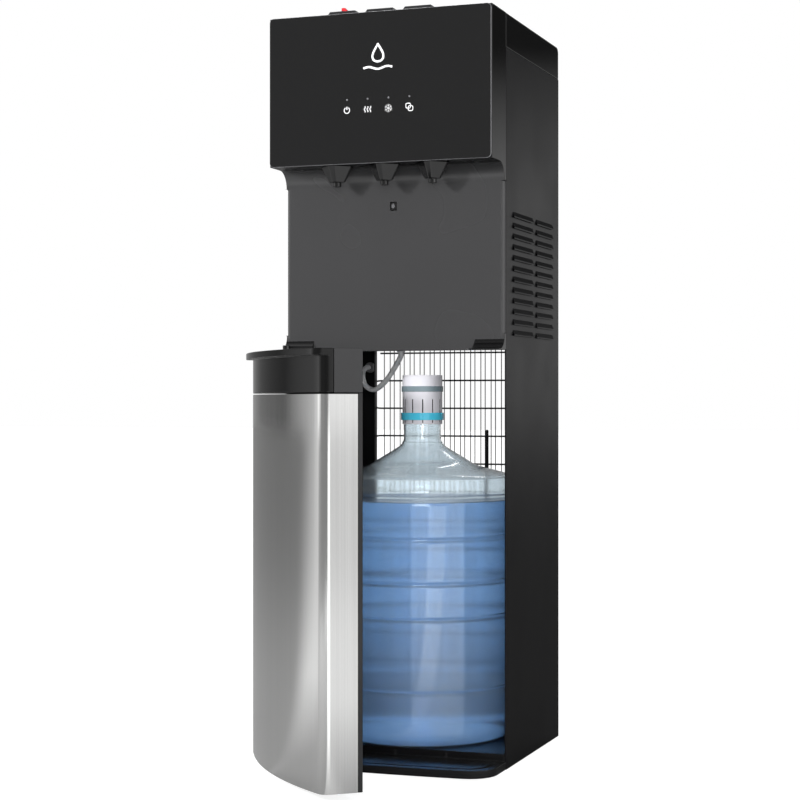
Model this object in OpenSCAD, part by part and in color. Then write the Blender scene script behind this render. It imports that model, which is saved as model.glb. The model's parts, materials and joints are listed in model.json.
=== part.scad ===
// Floor-standing bottom-loading water dispenser.
// Origin: on the floor under the middle of the cabinet. +X right, +Y back, +Z up. Millimetres.

/* [Cabinet] */
// Width over the side panels
body_w = 324; // [316:1:400]
// Depth of the side panels
body_d = 275; // [262:1:340]
// Thickness of the sheet steel
sheet_t = 1; // [0.8:0.1:1.5]
// Wall of the plastic mouldings
wall = 2.5; // [2:0.1:3.5]
// Height of the plastic top cover
top_cover_h = 48; // [40:1:60]
// Width of the rear corner posts
post_w = 37; // [30:1:46]
// How far the rear posts sit in from the back edges
rear_recess = 14; // [13:1:20]

/* [Base] */
// Height of the feet
foot_h = 3; // [2:0.5:8]
// Height of the top of the front plate of the base
lip_h = 14; // [12:1:20]
// Height of the platform that the bottle stands on
platform_h = 24; // [22:1:30]
// How far the base reaches in front of the side panels
base_reach = 85.5; // [83:0.5:105]
// Corner radius of the front of the base
base_corner = 40; // [30:1:48]

/* [Door] */
// Height of the door
door_h = 558.5; // [540:0.5:672]
// Height of the black band at the top of the door
band_h = 56; // [48:1:68]
// Depth of the steel part of the door at its middle
door_depth = 69; // [60:0.2:83]
// Radius of the bowed front of the door
door_bow = 600; // [500:10:900]
// Corner radius of the door
door_corner = 14; // [10:1:16]
// Depth of the black rim behind the steel
rim_t = 6.5; // [5:0.5:8]
// Angle that the door stands open at rest
door_rest = 50; // [0:1:90]
// Radius of the hinge pins
pin_r = 3; // [2.5:0.1:4]

/* [Alcove and head] */
// Height from the bottom of the front moulding to the underside of the head
alcove_h = 255.5; // [250:0.5:310]
// Height of the head
head_h = 207; // [200:1:250]
// How far the front of the head reaches in front of the side panels
head_reach = 67.7; // [58:0.1:82]
// How far the alcove's face stands in front of the side panels
face_reach = 7; // [5:0.5:9]
// Thickness of the display panel
panel_t = 3; // [2:0.1:4]
// Distance between the spouts
spout_pitch = 70; // [56:1:84]
// Width of a spout across its corners
spout_w = 46; // [38:1:54]
// Distance between the buttons
button_pitch = 55; // [52:1:66]
// Length of a button
button_l = 44; // [36:1:50]
// Travel of a button
button_travel = 4; // [2:0.5:5]

/* [Bottle] */
// Radius of the bottle
bottle_r = 135; // [112:1:137]
// Height of the bottle's shoulder above its foot
shoulder_h = 350; // [292:1:360]
// Radius of the bottle's neck
neck_r = 27; // [22.5:0.5:30]
// Height of the water in the bottle
water_h = 342; // [100:1:345]

/* [Condenser] */
// Distance between the rows of the condenser's tube
row_pitch = 42.6; // [40:0.2:51]
// Distance between its wires
wire_pitch = 8.2; // [7:0.1:12]
// Radius of its tube
condenser_r = 1.3; // [1.1:0.1:2.2]

/* [Hidden] */
$fn = 64;

// Clearances
fit = 0.3;          // between bodies that face each other
run = 0.05;         // radial clearance of a running pin
gap = 1.5;          // visible joint between mouldings
door_gap = 14.5;    // between the side panels and the back of the door

// Planes of the cabinet
hw = body_w / 2;
y_front = -body_d / 2;
y_back = body_d / 2;
y_post = y_back - rear_recess;        // back face of the rear posts
y_flange = y_post - 10;               // front edge of the rear posts' inner flanges
inner_x = hw - sheet_t;               // inside of the side panels

// Levels
door_z0 = lip_h + gap;
door_z1 = door_z0 + door_h;
alcove_z0 = door_z1 + 3.5;
head_z0 = alcove_z0 + alcove_h;
body_h = head_z0 + head_h;
ceiling_z = alcove_z0 + 10.5;         // underside of the machine shelf
cover_z0 = body_h - top_cover_h;
side_z1 = cover_z0;

// Front surfaces
y_face = y_front - face_reach;
y_panel = y_front - head_reach;       // front of the display panel
y_head = y_panel + panel_t;           // front of the head shell

// Door, in its closed place
door_w = body_w - 2;
door_back = y_front - door_gap;
steel_back = door_back - rim_t;
door_front = steel_back - door_depth;
hinge_x = -hw + 5.5;
hinge_y = steel_back + 0.5;
band_z0 = door_z1 - band_h;
skin_t = 1;
// between the tray's front and the band
tray_split = corner_y(door_w, door_front, door_corner, door_bow) + 4.5;
tray_half = hw - 50;                  // half width of the tray's pan
tray_floor = door_z1 - 32;
lip_reach = 10;                       // how far the tray's grab lip stands out
lip_t = 9;

// Spouts and buttons
spout_y = y_front - 42;
spout_tip = head_z0 - 28;
button_y = y_front - 46.5;
button_d = 28;
button_top = body_h + 5;

// Rocker switches on the back
rocker_pitch = 20;
rocker_x = -80;
rocker_z = cover_z0 - 50;
rocker_tilt = 8;
y_cover = y_post + sheet_t;           // back face of the rear cover
rocker_y = y_cover - 2;               // where the keys' cross pins run
rocker_pin = 1.5;

// Machine compartment
shelf_t = 1.5;
machine_z = ceiling_z + shelf_t;
compressor_r = 62;
compressor_h = 138;
grommet_h = 8;
compressor_x = 72;
compressor_y = 30;
tank_shelf_z = machine_z + grommet_h + compressor_h + 14;
cold_r = 58;
cold_h = 150;
foam_t = 14;
cold_x = -78;
tank_y = 20;
hot_r = 50;
hot_h = 140;
hot_x = 82;

// Bottle
bottle_y = -21;
bottle_z = platform_h + fit;
bottle_t = 2;
cap_r = 29;
cap_z0 = bottle_z + shoulder_h + 100;
cap_h = 71;
grooves = [77, 179, 228, 290];        // heights of the bottle's rings above its foot
groove_r = 3;

// Condenser
condenser_y = y_back - 7;
condenser_top = alcove_z0 + 4.5;
rows = 13;
row_half = hw - 40;
wire_r = 0.7;

// Hose from the shelf to the rear post. Its points are chosen by hand, and lie from the left side,
// the back of the posts and the underside of the shelf.
hose_r = 4;
hose_points = [
  [118, -114.5, -8], [118, -114.5, -12], [115, -111.5, -17], [110, -107.5, -23], [103, -101.5, -31],
  [95, -94.5, -39], [86, -86.5, -47], [76, -77.5, -54], [65, -68.5, -60], [54, -59.5, -63],
  [43, -50.5, -61], [33, -42.5, -55], [27, -34.5, -45], [24, -27.5, -36], [25, -20.5, -30],
  [27, -13.5, -28], [27, -10.5, -28]
];
hose_route = [for (p = hose_points) [p[0] - hw, p[1] + y_post, p[2] + ceiling_z]];

// Points of an arc, from angle a0 to angle a1, in n steps
function arc(c, r, a0, a1, n) = [for (i = [0:n]) let (a = a0 + (a1 - a0) * i / n) c + r * [cos(a), sin(a)]];

// Where the round corner of a bowed outline ends and its straight side starts
function corner_y(w, front, corner, bow) = front + bow - sqrt(pow(bow - corner, 2) - pow(w / 2 - corner, 2));

// Outline with a straight back, straight sides, round front corners and a bowed front
function bow_outline(w, back, front, corner, bow) =
  let (yc = front + bow,
       cx = w / 2 - corner,
       cy = corner_y(w, front, corner, bow),
       at = asin(cx / (bow - corner)))
  concat([[-w / 2, back]],
         arc([-cx, cy], corner, 180, 270 - at, 6),
         arc([0, yc], bow, 270 - at, 270 + at, 30),
         arc([cx, cy], corner, 270 + at, 360, 6),
         [[w / 2, back]]);

module slab(points, z0, z1) {
  translate([0, 0, z0]) linear_extrude(z1 - z0) polygon(points);
}

// A block given by its lowest and highest corners
module block(lo, hi) {
  translate(lo) cube(hi - lo);
}

// A side profile of [y, z] points, extruded from x0 to x1
module side_profile(points, x0, x1) {
  translate([x0, 0, 0]) rotate([90, 0, 90]) linear_extrude(x1 - x0) polygon(points);
}

// Puts the closed door's parts in their place at rest
module door_at_rest() {
  translate([hinge_x, hinge_y, 0]) rotate([0, 0, -door_rest]) translate([-hinge_x, -hinge_y, 0]) children();
}

// Tube swept along points, with n sides, as one closed polyhedron
function unit(v) = v / norm(v);
function tangent(p, i) = unit(p[min(i + 1, len(p) - 1)] - p[max(i - 1, 0)]);
module swept_tube(p, r, n = 10) {
  points = [for (i = [0:len(p) - 1])
    let (t = tangent(p, i), u = unit(cross(t, [0.3, 1, 0.2])), v = cross(t, u))
    for (k = [0:n - 1]) p[i] + r * (cos(360 * k / n) * u + sin(360 * k / n) * v)];
  sides = [for (i = [0:len(p) - 2], k = [0:n - 1], half = [0, 1])
    half == 0 ? [i * n + k, i * n + (k + 1) % n, (i + 1) * n + (k + 1) % n]
      : [i * n + k, (i + 1) * n + (k + 1) % n, (i + 1) * n + k]];
  polyhedron(points, concat(sides, [[for (k = [n - 1:-1:0]) k]],
    [[for (k = [0:n - 1]) (len(p) - 1) * n + k]]), convexity = 6);
}

// ---------------------------------------------------------------- base

module base_pan() {
  front = y_front - base_reach;
  plate = bow_outline(body_w, y_front, front, base_corner, 1600);
  hollow = bow_outline(body_w - 2 * wall, y_front, front + wall, base_corner - wall, 1600 - wall);
  groove = bow_outline(body_w - 24, y_front - 12, front + 12, base_corner - 12, 1600 - 12);
  groove_in = bow_outline(body_w - 32, y_front - 12, front + 16, base_corner - 16, 1600 - 16);
  x = inner_x - sheet_t - fit;
  color("#1b1b1d") difference() {
    union() {
      slab(plate, foot_h, lip_h);
      block([-x, y_front - 0.5, foot_h], [x, y_flange - fit, platform_h]);
    }
    slab(hollow, foot_h - 1, lip_h - wall);
    block([-x + wall, y_front + wall, foot_h - 1], [x - wall, y_flange - fit - wall, platform_h - wall - 1]);
    // seat of the closed door's edge
    difference() {
      slab(groove, lip_h - 1.5, lip_h + 1);
      slab(groove_in, lip_h - 2, lip_h + 2);
    }
    translate([hinge_x, hinge_y, foot_h]) cylinder(r = pin_r, h = lip_h);
  }
  // ribs and the boss of the lower hinge pin
  color("#1b1b1d") for (i = [-1:1]) block([i * 75 - 1.2, y_front - 2, foot_h],
    [i * 75 + 1.2, y_flange - wall, platform_h - wall - 0.9]);
  color("#1b1b1d") difference() {
    translate([hinge_x, hinge_y, foot_h]) cylinder(r = pin_r + 2, h = lip_h - wall - foot_h + 0.1);
    translate([hinge_x, hinge_y, foot_h - 1]) cylinder(r = pin_r, h = lip_h);
  }
}

module base_feet() {
  foot_x = hw - 30;
  color("#2b2b2b") {
    for (x = [-foot_x, foot_x], y = [y_front - base_reach + 45, y_back - 48])
      translate([x, y, 0]) cylinder(r = 14, h = y < 0 ? lip_h - wall : platform_h - wall - 1);
    cylinder(r = 20, h = foot_h);
  }
}

// ---------------------------------------------------------------- sheet metal

// One raised louver, open at its lower edge, on the plane x = 0
module louver(y0, l, z) {
  out = 2.4;
  h = 8;
  translate([0, y0, z]) rotate([90, 0, 180]) linear_extrude(l)
    polygon([[0, h], [-out, 1.5], [-out, 0], [-out + 0.8, 0], [-out + 0.8, 1.2], [0, h - 2.6]]);
}

louver_rows = 12;
louver_z0 = alcove_z0 + 21;
louver_step = 14.9;
louver_cols = [[y_front + 33, 99], [y_front + 150, 89]];  // start and length of each column

module side_panel() {
  h0 = foot_h;
  difference() {
    union() {
      block([inner_x, y_front, h0], [hw, y_back, side_z1]);
      // folded hem along the front edge
      block([inner_x - sheet_t, y_front, h0], [inner_x + 0.2, y_front + 12, side_z1]);
      // rear corner post
      block([hw - post_w, y_post - sheet_t, h0], [inner_x + 0.2, y_post, side_z1]);
      block([hw - post_w, y_flange, h0], [hw - post_w + sheet_t, y_post - sheet_t + 0.2, side_z1]);
      for (c = louver_cols, i = [0:louver_rows - 1])
        translate([hw - 0.1, 0, 0]) louver(c[0], c[1], louver_z0 + i * louver_step);
    }
    for (c = louver_cols, i = [0:louver_rows - 1])
      block([inner_x - 1, c[0] + 1.5, louver_z0 + i * louver_step + 0.6],
        [hw + 0.2, c[0] + c[1] - 1.5, louver_z0 + i * louver_step + 4.4]);
    for (z = screw_zs) translate([screw_x, y_post - 10, z]) rotate([-90, 0, 0]) cylinder(r = screw_r, h = 20);
  }
}
module side_panel_right() { color("#26272a") side_panel(); }
module side_panel_left() { color("#26272a") mirror([1, 0, 0]) side_panel(); }

module bay_liner() {
  x1 = inner_x - fit;
  z0 = platform_h + fit;
  block([x1 - 1.5, y_front + 13, z0], [x1, y_flange - 1, ceiling_z - fit]);
}
module bay_liner_right() { color("#141416") bay_liner(); }
module bay_liner_left() { color("#141416") mirror([1, 0, 0]) bay_liner(); }

module bay_ceiling() {
  x = inner_x - sheet_t - fit;
  color("#1e1f22") difference() {
    union() {
      block([-x, y_front + 0.5, ceiling_z], [x, y_flange - fit, machine_z]);
      for (s = [-1, 1]) block([s > 0 ? x - 1.5 : -x, y_front + 14, machine_z - 0.2],
        [s > 0 ? x : -x + 1.5, y_post - 12, machine_z + 14]);
    }
    translate([hose_route[0][0], hose_route[0][1], ceiling_z - 1]) cylinder(r = 7, h = shelf_t + 2);
    for (dx = [-45, 45], dy = [-45, 45])
      translate([compressor_x + dx, compressor_y + dy, ceiling_z - 1]) cylinder(r = 3.2, h = shelf_t + 2);
  }
}

module rear_cover() {
  x = inner_x - 7;
  z0 = ceiling_z + 2;
  z1 = cover_z0 - 1;
  color("#26272a") difference() {
    block([-x, y_post, z0], [x, y_cover, z1]);
    // slots, switch opening, gland, drain and screws
    for (i = [0:7], s = [-1, 1]) block([s * 55 - 35, y_post - 1, z0 + 60 + i * 12],
      [s * 55 + 35, y_cover + 1, z0 + 64 + i * 12]);
    block([rocker_x - 1.5 * rocker_pitch - 2, y_post - 1, rocker_z - 13], [rocker_x + 1.5 * rocker_pitch + 2,
      y_cover + 1, rocker_z + 13]);
    translate([gland_x, y_post - 1, gland_z]) rotate([-90, 0, 0])
      cylinder(r = gland_r + fit, h = sheet_t + 2);
    translate([drain_x, y_post - 1, drain_z]) rotate([-90, 0, 0]) cylinder(r = 8 + fit, h = sheet_t + 2);
    for (s = [-1, 1], z = screw_zs) translate([s * screw_x, y_post - 1, z]) rotate([-90, 0, 0])
      cylinder(r = screw_r + fit, h = sheet_t + 2);
  }
}
gland_x = hw - 60;
gland_z = ceiling_z + 36;
gland_r = 8;
cord_r = 3.6;
drain_x = hot_x;
drain_z = tank_shelf_z + 24;
screw_r = 1.7;
screw_x = hw - 22;
screw_zs = [for (i = [0:3]) ceiling_z + 14 + i * (cover_z0 - ceiling_z - 28) / 3];

module cover_screws() {
  color("silver") for (s = [-1, 1], z = screw_zs) translate([s * screw_x, 0, z]) rotate([-90, 0, 0]) {
    translate([0, 0, y_cover]) cylinder(r = 3.8, h = 1.8);
    translate([0, 0, y_post - sheet_t - 6]) cylinder(r = screw_r, h = 2 * sheet_t + 6.1);
  }
}

module top_cover() {
  r = 9;
  outer = concat([[y_front + fit, cover_z0], [y_front + fit, body_h]],
    arc([y_back - r, body_h - r], r, 90, 0, 6), [[y_back, cover_z0]]);
  inner = concat([[y_front - 1, cover_z0 - 1], [y_front - 1, body_h - wall]],
    arc([y_back - r, body_h - r], r - wall, 90, 0, 6), [[y_back - wall, cover_z0 - 1]]);
  color("#0c0c0d") difference() {
    side_profile(outer, -hw, hw);
    side_profile(inner, -hw + wall, hw - wall);
  }
  color("#0c0c0d") for (i = [-2:2]) block([i * 60 - 1, y_front + 4, body_h - wall - 5],
    [i * 60 + 1, y_back - 12, body_h - wall + 0.5]);
  // ledge that closes the cover over the rear recess
  color("#0c0c0d") block([-hw + wall - 0.1, y_cover + fit, cover_z0],
    [hw - wall + 0.1, y_back - wall + 0.1, cover_z0 + wall]);
}

// ---------------------------------------------------------------- front moulding

fillet_r = 24;      // between the alcove's face and the underside of the head
ramp_r = 21;        // of the two corner lugs over the door
lug_w = 43;
lug_reach = 34;     // of a lug in front of the side panels

// Alcove plan: a shallow tray with round vertical edges
function face_outline(inset, back) =
  let (r = face_reach - inset, x = hw - face_reach)
  concat([[-hw + inset, back]], arc([-x, y_front], r, 180, 270, 6), arc([x, y_front], r, 270, 360, 6),
    [[hw - inset, back]]);

module corner_lug() {
  // flat under side, hollow curve on top
  y1 = y_front - lug_reach;
  profile = concat([[y_front, alcove_z0], [y1, alcove_z0], [y1, alcove_z0 + 2]],
    arc([y_face - ramp_r + 1, alcove_z0 + 2 + ramp_r], ramp_r, 270, 360, 8),
    [[y_front, alcove_z0 + 2 + ramp_r]]);
  side_profile(profile, hw - lug_w, hw);
}

y_fillet = y_face - fillet_r;
z_fillet = head_z0 - fillet_r;

module front_fascia() {
  cy = y_fillet;
  cz = z_fillet;
  head = concat([[y_front, head_z0 - fillet_r], [y_face, cz]], arc([cy, cz], fillet_r, 0, 90, 8),
    [[y_head, head_z0], [y_head, body_h], [y_front, body_h]]);
  r = fillet_r + wall;
  cavity = concat([[y_front + 1, cz + 6]], arc([cy, cz], r, asin(6 / r), 90, 8),
    [[y_head + wall, head_z0 + wall], [y_head + wall, body_h - wall], [y_front + 1, body_h - wall]]);
  color("#3a3a3c") difference() {
    union() {
      slab(face_outline(0, y_front), alcove_z0, cz + 0.5);
      side_profile(head, -hw, hw);
      corner_lug();
      mirror([1, 0, 0]) corner_lug();
      translate([hinge_x, hinge_y, alcove_z0]) cylinder(r = pin_r + 2, h = 9);
    }
    slab(face_outline(wall, y_front + 1), alcove_z0 + wall, cz + 0.6);
    side_profile(cavity, -hw + wall, hw - wall);
    // keyholes for the buttons, the spouts, the lamp and the display's lugs
    l = button_l / 2 + fit;
    d = button_d / 2 + fit;
    for (i = [-1:1]) translate([i * button_pitch, button_y, body_h - wall - 1])
      block([-l, -d, 0], [l, d, wall + 2]);
    for (i = [-1:1]) translate([i * spout_pitch, spout_y, head_z0 - 1]) cylinder(r = 10.3, h = wall + 2);
    block([-5, y_face - 1, lamp_z - 6], [5, y_face + wall + 1, lamp_z + 6]);
    translate([hinge_x, hinge_y, alcove_z0 - 1]) cylinder(r = pin_r, h = 8);
    block([catch_x - 12.5, catch_y - 6.5, alcove_z0 - 1], [catch_x + 12.5, catch_y + 6.5, alcove_z0 + 1]);
  }
}
lamp_z = alcove_z0 + 202;

module night_light_lens() {
  color("#d8dadc") block([-4.7, y_face + 0.6, lamp_z - 5.7], [4.7, y_face + wall + 2, lamp_z + 5.7]);
}

panel_w = body_w - 1.2;
module display_panel() {
  r = 6;
  x = panel_w / 2 - r;
  z0 = head_z0 + r - 0.2;
  z1 = body_h - r;
  color("#101012") difference() {
    translate([0, y_head, 0]) rotate([90, 0, 0]) linear_extrude(panel_t)
      polygon(concat(arc([-x, z0], r, 180, 270, 6), arc([x, z0], r, 270, 360, 6),
        arc([x, z1], r, 0, 90, 6), arc([-x, z1], r, 90, 180, 6)));
    for (x = indicator_x) translate([x, y_head + 1, indicator_z]) rotate([90, 0, 0])
      cylinder(r = 1.3, h = panel_t + 2);
  }
}
indicator_x = [for (i = [0:3]) (i - 1.5) * 30.3];
indicator_z = head_z0 + 88;

module indicator_lenses() {
  color("#9aa0a6") for (x = indicator_x) translate([x, y_head, indicator_z]) rotate([90, 0, 0])
    cylinder(r = 1.25, h = panel_t - 0.1);
}

// ---------------------------------------------------------------- spouts and buttons

// A faceted funnel with a corner to the front
module spout() {
  top = spout_w / 2;
  low = 11;
  cut_a = 10.8;                       // half the angle that a cut corner takes
  ring = [for (i = [0:3], s = [-1, 1]) let (a = 90 * i + s * cut_a) [cos(a), sin(a)]];
  h = head_z0 - spout_tip - 6;
  difference() {
    union() {
      intersection() {
        union() {
          block([-top, -top, spout_tip], [top, y_fillet - spout_y, head_z0]);
          translate([-top, y_fillet - spout_y, z_fillet]) rotate([0, 90, 0])
            cylinder(r = fillet_r - fit, h = 2 * top);
        }
        translate([0, 0, spout_tip + 6]) polyhedron(
          concat([for (p = ring) [p[0] * low, p[1] * low, 0]],
            [for (p = ring) [p[0] * top, p[1] * top, h - fit]]),
          concat([[for (i = [0:7]) i]], [[for (i = [7:-1:0]) 8 + i]],
            [for (i = [0:7]) [i, 8 + i, 8 + (i + 1) % 8, (i + 1) % 8]]));
      }
      translate([0, 0, spout_tip]) cylinder(r = 5.5, h = 8);
      translate([0, 0, head_z0 - 2]) cylinder(r = 10, h = 16);
      translate([0, 0, head_z0 + 13]) cylinder(r = 7.2, h = valve_z + 8 - head_z0 - 13);
    }
    translate([0, 0, spout_tip - 1]) cylinder(r = 3.5, h = valve_z + 10 - spout_tip);
  }
}
module spout_hot() { color("#2a2a2c") translate([-spout_pitch, spout_y, 0]) spout(); }
module spout_room() { color("#2a2a2c") translate([0, spout_y, 0]) spout(); }
module spout_cold() { color("#2a2a2c") translate([spout_pitch, spout_y, 0]) spout(); }

valve_z = head_z0 + 22;
module solenoid_valves() {
  for (i = [-1:1]) translate([i * spout_pitch, spout_y, valve_z]) {
    color("#e8e4d8") difference() {
      union() {
        cylinder(r = 11, h = 24);
        block([-9, -9, 23], [9, 9, 30]);
        translate([0, 8, 12]) rotate([-90, 0, 0]) cylinder(r = 4.5, h = 14);
      }
      translate([0, 0, -1]) cylinder(r = 7.5, h = 12);
    }
    color("#2f5f8f") block([-12, -12, 30.3], [12, 12, 56]);
  }
}

// Silicone tubes from the valves to the tanks' outlets
module outlet_tubes() {
  color("#e6ebec") for (i = [-1:1]) translate([i * spout_pitch, spout_y, valve_z + 12]) rotate([-90, 0, 0])
    difference() {
      translate([0, 0, 12]) cylinder(r = 6.2, h = tank_y - cold_r - foam_t - 12 - spout_y - 12);
      translate([0, 0, 11]) cylinder(r = 4.6, h = 200);
    }
}

module button() {
  // stem, skirt and a cap with sloping ends
  z1 = button_top;
  l = button_l / 2;
  d = button_d / 2;
  block([-l, -d, body_h - wall - 2], [l, d, body_h + 1]);
  rotate([90, 0, 0]) translate([0, 0, -d]) linear_extrude(2 * d)
    polygon([[-l, body_h + 0.8], [l, body_h + 0.8], [l - 3.5, z1], [-l + 3.5, z1]]);
  block([-l - 1.5, -d - 1.5, body_h - wall - 3.5], [l + 1.5, d + 1.5, body_h - wall - 1.2]);
  z0 = switch_top + 1.2 + button_travel + fit;
  translate([0, 0, z0]) cylinder(r = 3, h = body_h - wall - 3 - z0);
}
switch_top = body_h - 32;

module button_hot() {
  color("#1c1c1e") translate([-button_pitch, button_y, 0]) difference() {
    button();
    block([-6.4, -8, body_h + 1.5], [6.4, 8, button_top + 1]);
  }
}
module button_room() { color("#1c1c1e") translate([0, button_y, 0]) button(); }
module button_cold() { color("#1c1c1e") translate([button_pitch, button_y, 0]) button(); }

// Red slide in the hot button, with a raised thumb ridge
module child_lock() {
  z0 = body_h + 1.5 + fit;
  color("#c8202c") translate([-button_pitch, button_y, 0]) {
    block([-6, -7.6, z0], [6, 2.4, button_top - 0.2]);
    rotate([90, 0, 0]) translate([0, 0, -2.4]) linear_extrude(5)
      polygon([[-6, button_top - 0.4], [6, button_top - 0.4], [-1, button_top + 7], [-6, button_top + 7]]);
  }
}

module button_switches() {
  color("#303238") for (i = [-1:1]) translate([i * button_pitch, button_y, 0]) {
    block([-10, -5, switch_top - 12], [10, 5, switch_top]);
    translate([0, 0, switch_top - 1]) cylinder(r = 1.6, h = 2.2);
    block([-12, 5.1, switch_top - 20], [12, 6.6, switch_top]);
  }
  // bar that carries the three switches
  x = hw - wall;
  color("#303238") block([-x, button_y + 6.6, switch_top - 20], [x, button_y + 8.6, switch_top - 4]);
}

module control_board() {
  y0 = y_head + wall + 5;
  z0 = valve_z + 58;
  color("#1f6b3a") block([-78, y0, z0], [78, y0 + 1.6, z0 + 50]);
  color("#222222") {
    block([-20, y0 + 1.7, z0 + 18], [4, y0 + 4.2, z0 + 34]);
    for (i = [0:3]) block([22 + i * 13, y0 + 1.7, z0 + 6], [30 + i * 13, y0 + 11, z0 + 20]);
  }
  color("#3a3a3c") for (s = [-1, 1], z = [6, 44]) translate([s * 72, y0 - 4.9, z0 + z]) rotate([-90, 0, 0])
    cylinder(r = 3, h = 4.9);
}

// ---------------------------------------------------------------- machine compartment

module compressor() {
  z = machine_z + grommet_h;
  color("#17181a") translate([compressor_x, compressor_y, z]) {
    rotate_extrude() polygon(concat([[0, 70], [compressor_r - 20, 70], [compressor_r - 20, 4]],
      [[compressor_r - 12, 4]], arc([compressor_r - 12, 16], 12, -90, 0, 5),
      [[compressor_r, 66], [compressor_r + 3, 67], [compressor_r + 3, 71], [compressor_r, 72]],
      arc([compressor_r - 34, compressor_h - 34], 34, 0, 90, 8), [[0, compressor_h]]));
    for (dx = [-45, 45]) block([dx - 10, -55, 0], [dx + 10, 55, 4.5]);
    translate([-compressor_r + 6, 0, 96]) rotate([0, -90, 0]) cylinder(r = 3.2, h = 16);
    block([compressor_r - 6, -20, 40], [compressor_r + 14, 20, 90]);
  }
}

module compressor_grommets() {
  color("#101010") for (dx = [-45, 45], dy = [-45, 45]) translate([compressor_x + dx, compressor_y + dy, 0])
    difference() {
      translate([0, 0, machine_z]) cylinder(r = 8, h = grommet_h);
      translate([0, 0, machine_z - 1]) cylinder(r = 3.2, h = grommet_h + 2);
    }
}

// Black line that comes down from the shelf behind the bottle, with a closed service end
module discharge_line() {
  x = 52;
  y = y_post - 14;
  r = 2.4;
  color("#0d0d0e") {
    translate([x + 6, y, 60]) cylinder(r = r, h = condenser_top - 3 * row_pitch - 60 + 8);
    translate([x + 6, y, condenser_top - 3 * row_pitch + 8]) sphere(r = r);
    translate([x + 6, y, 60]) sphere(r = r);
    translate([x + 6, y, 60]) rotate([0, 90, 0]) cylinder(r = r, h = hw - post_w - x - 6 + 14);
  }
}

module filter_drier() {
  color("#b87333") translate([compressor_x - 96, compressor_y + 62, machine_z + 46]) rotate([0, 12, 0]) {
    cylinder(r = 8, h = 62);
    translate([0, 0, -14]) cylinder(r = 2.2, h = 15);
    translate([0, 0, 61]) cylinder(r = 1.4, h = 18);
  }
}

module tank_shelf() {
  x = inner_x - sheet_t - fit;
  color("#4a4d52") difference() {
    union() {
      block([-x, y_front + 14, tank_shelf_z - shelf_t], [x, y_post - 12, tank_shelf_z]);
      for (s = [-1, 1]) block([s > 0 ? x - 1.5 : -x, y_front + 14, tank_shelf_z - 18],
        [s > 0 ? x : -x + 1.5, y_post - 12, tank_shelf_z - shelf_t + 0.2]);
    }
    translate([hot_x, tank_y, tank_shelf_z - 4]) cylinder(r = 16, h = 8);
    translate([cold_x, tank_y, tank_shelf_z - 4]) cylinder(r = 12, h = 8);
  }
}

tank_t = 1.5;
outlet_r = 4;

// A pressed steel tank with an open outlet of radius r_out on top
module tank(r, h, r_out) {
  difference() {
    union() {
      tank_form(r, h);
      translate([0, 0, h - 2]) cylinder(r = r_out, h = 12);
    }
    translate([0, 0, tank_t]) tank_form(r - tank_t, h - 2 * tank_t);
    translate([0, 0, h - 8]) cylinder(r = outlet_r, h = 20);
  }
}

module tank_form(r, h) {
  rotate_extrude() polygon(concat([[0, 0], [r - 6, 0]], arc([r - 6, 6], 6, -90, 0, 4),
    arc([r - 14, h - 14], 14, 0, 90, 5), [[0, h]]));
}

module cold_tank() {
  color("#c9cdd1") translate([cold_x, tank_y, tank_shelf_z + foam_t]) tank(cold_r, cold_h, 6);
}

coil_r = 2.6;
module evaporator_coil() {
  color("#b87333") for (i = [0:8]) translate([cold_x, tank_y, tank_shelf_z + foam_t + 24 + i * 11])
    rotate_extrude() translate([cold_r + coil_r + 0.1, 0]) circle(r = coil_r, $fn = 20);
}

module cold_tank_foam() {
  r = cold_r + 2 * coil_r + 0.6;
  h = cold_h + foam_t;
  color("#f1f1ec") difference() {
    translate([cold_x, tank_y, tank_shelf_z]) intersection() {
      cylinder(r = r + foam_t, h = h + 12);
      block([-r - 12, -r - foam_t, 0], [r + foam_t, r + foam_t, h + 12]);
    }
    translate([cold_x, tank_y, tank_shelf_z + foam_t]) cylinder(r = r, h = cold_h + 0.3);
    translate([cold_x, tank_y, tank_shelf_z + h]) cylinder(r = 6.3, h = 20);
  }
}

module hot_tank() {
  color("#c9cdd1") translate([hot_x, tank_y, tank_shelf_z + 6]) {
    tank(hot_r, hot_h, 7);
    for (a = [30:120:270]) rotate(a) translate([hot_r - 12, 0, -6]) cylinder(r = 4, h = 7);
    translate([0, hot_r - 6, 18]) rotate([-90, 0, 0]) cylinder(r = 6, h = y_cover - tank_y - hot_r + 6 + 4);
  }
}

module heater_band() {
  color("#8d6b3e") translate([hot_x, tank_y, tank_shelf_z + 46]) difference() {
    union() {
      cylinder(r = hot_r + 3, h = 62);
      block([-hot_r - 12, -6, 8], [-hot_r + 1, 6, 54]);
    }
    translate([0, 0, -1]) cylinder(r = hot_r + 0.1, h = 64);
  }
}

module water_pump() {
  color("#d8d8d4") translate([cold_x - 20, 70, machine_z + 6]) {
    cylinder(r = 26, h = 40);
    translate([0, 0, 39.9]) cylinder(r = 18, h = 34);
    translate([20, 0, 12]) rotate([0, 90, 0]) cylinder(r = 4.5, h = 24);
    for (a = [0:90:270]) rotate(a + 45) translate([30, 0, -6]) cylinder(r = 5, h = 8);
    for (a = [0:90:270]) rotate(a + 45) block([20, -5, 0], [34, 5, 3]);
  }
}

// ---------------------------------------------------------------- back

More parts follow.
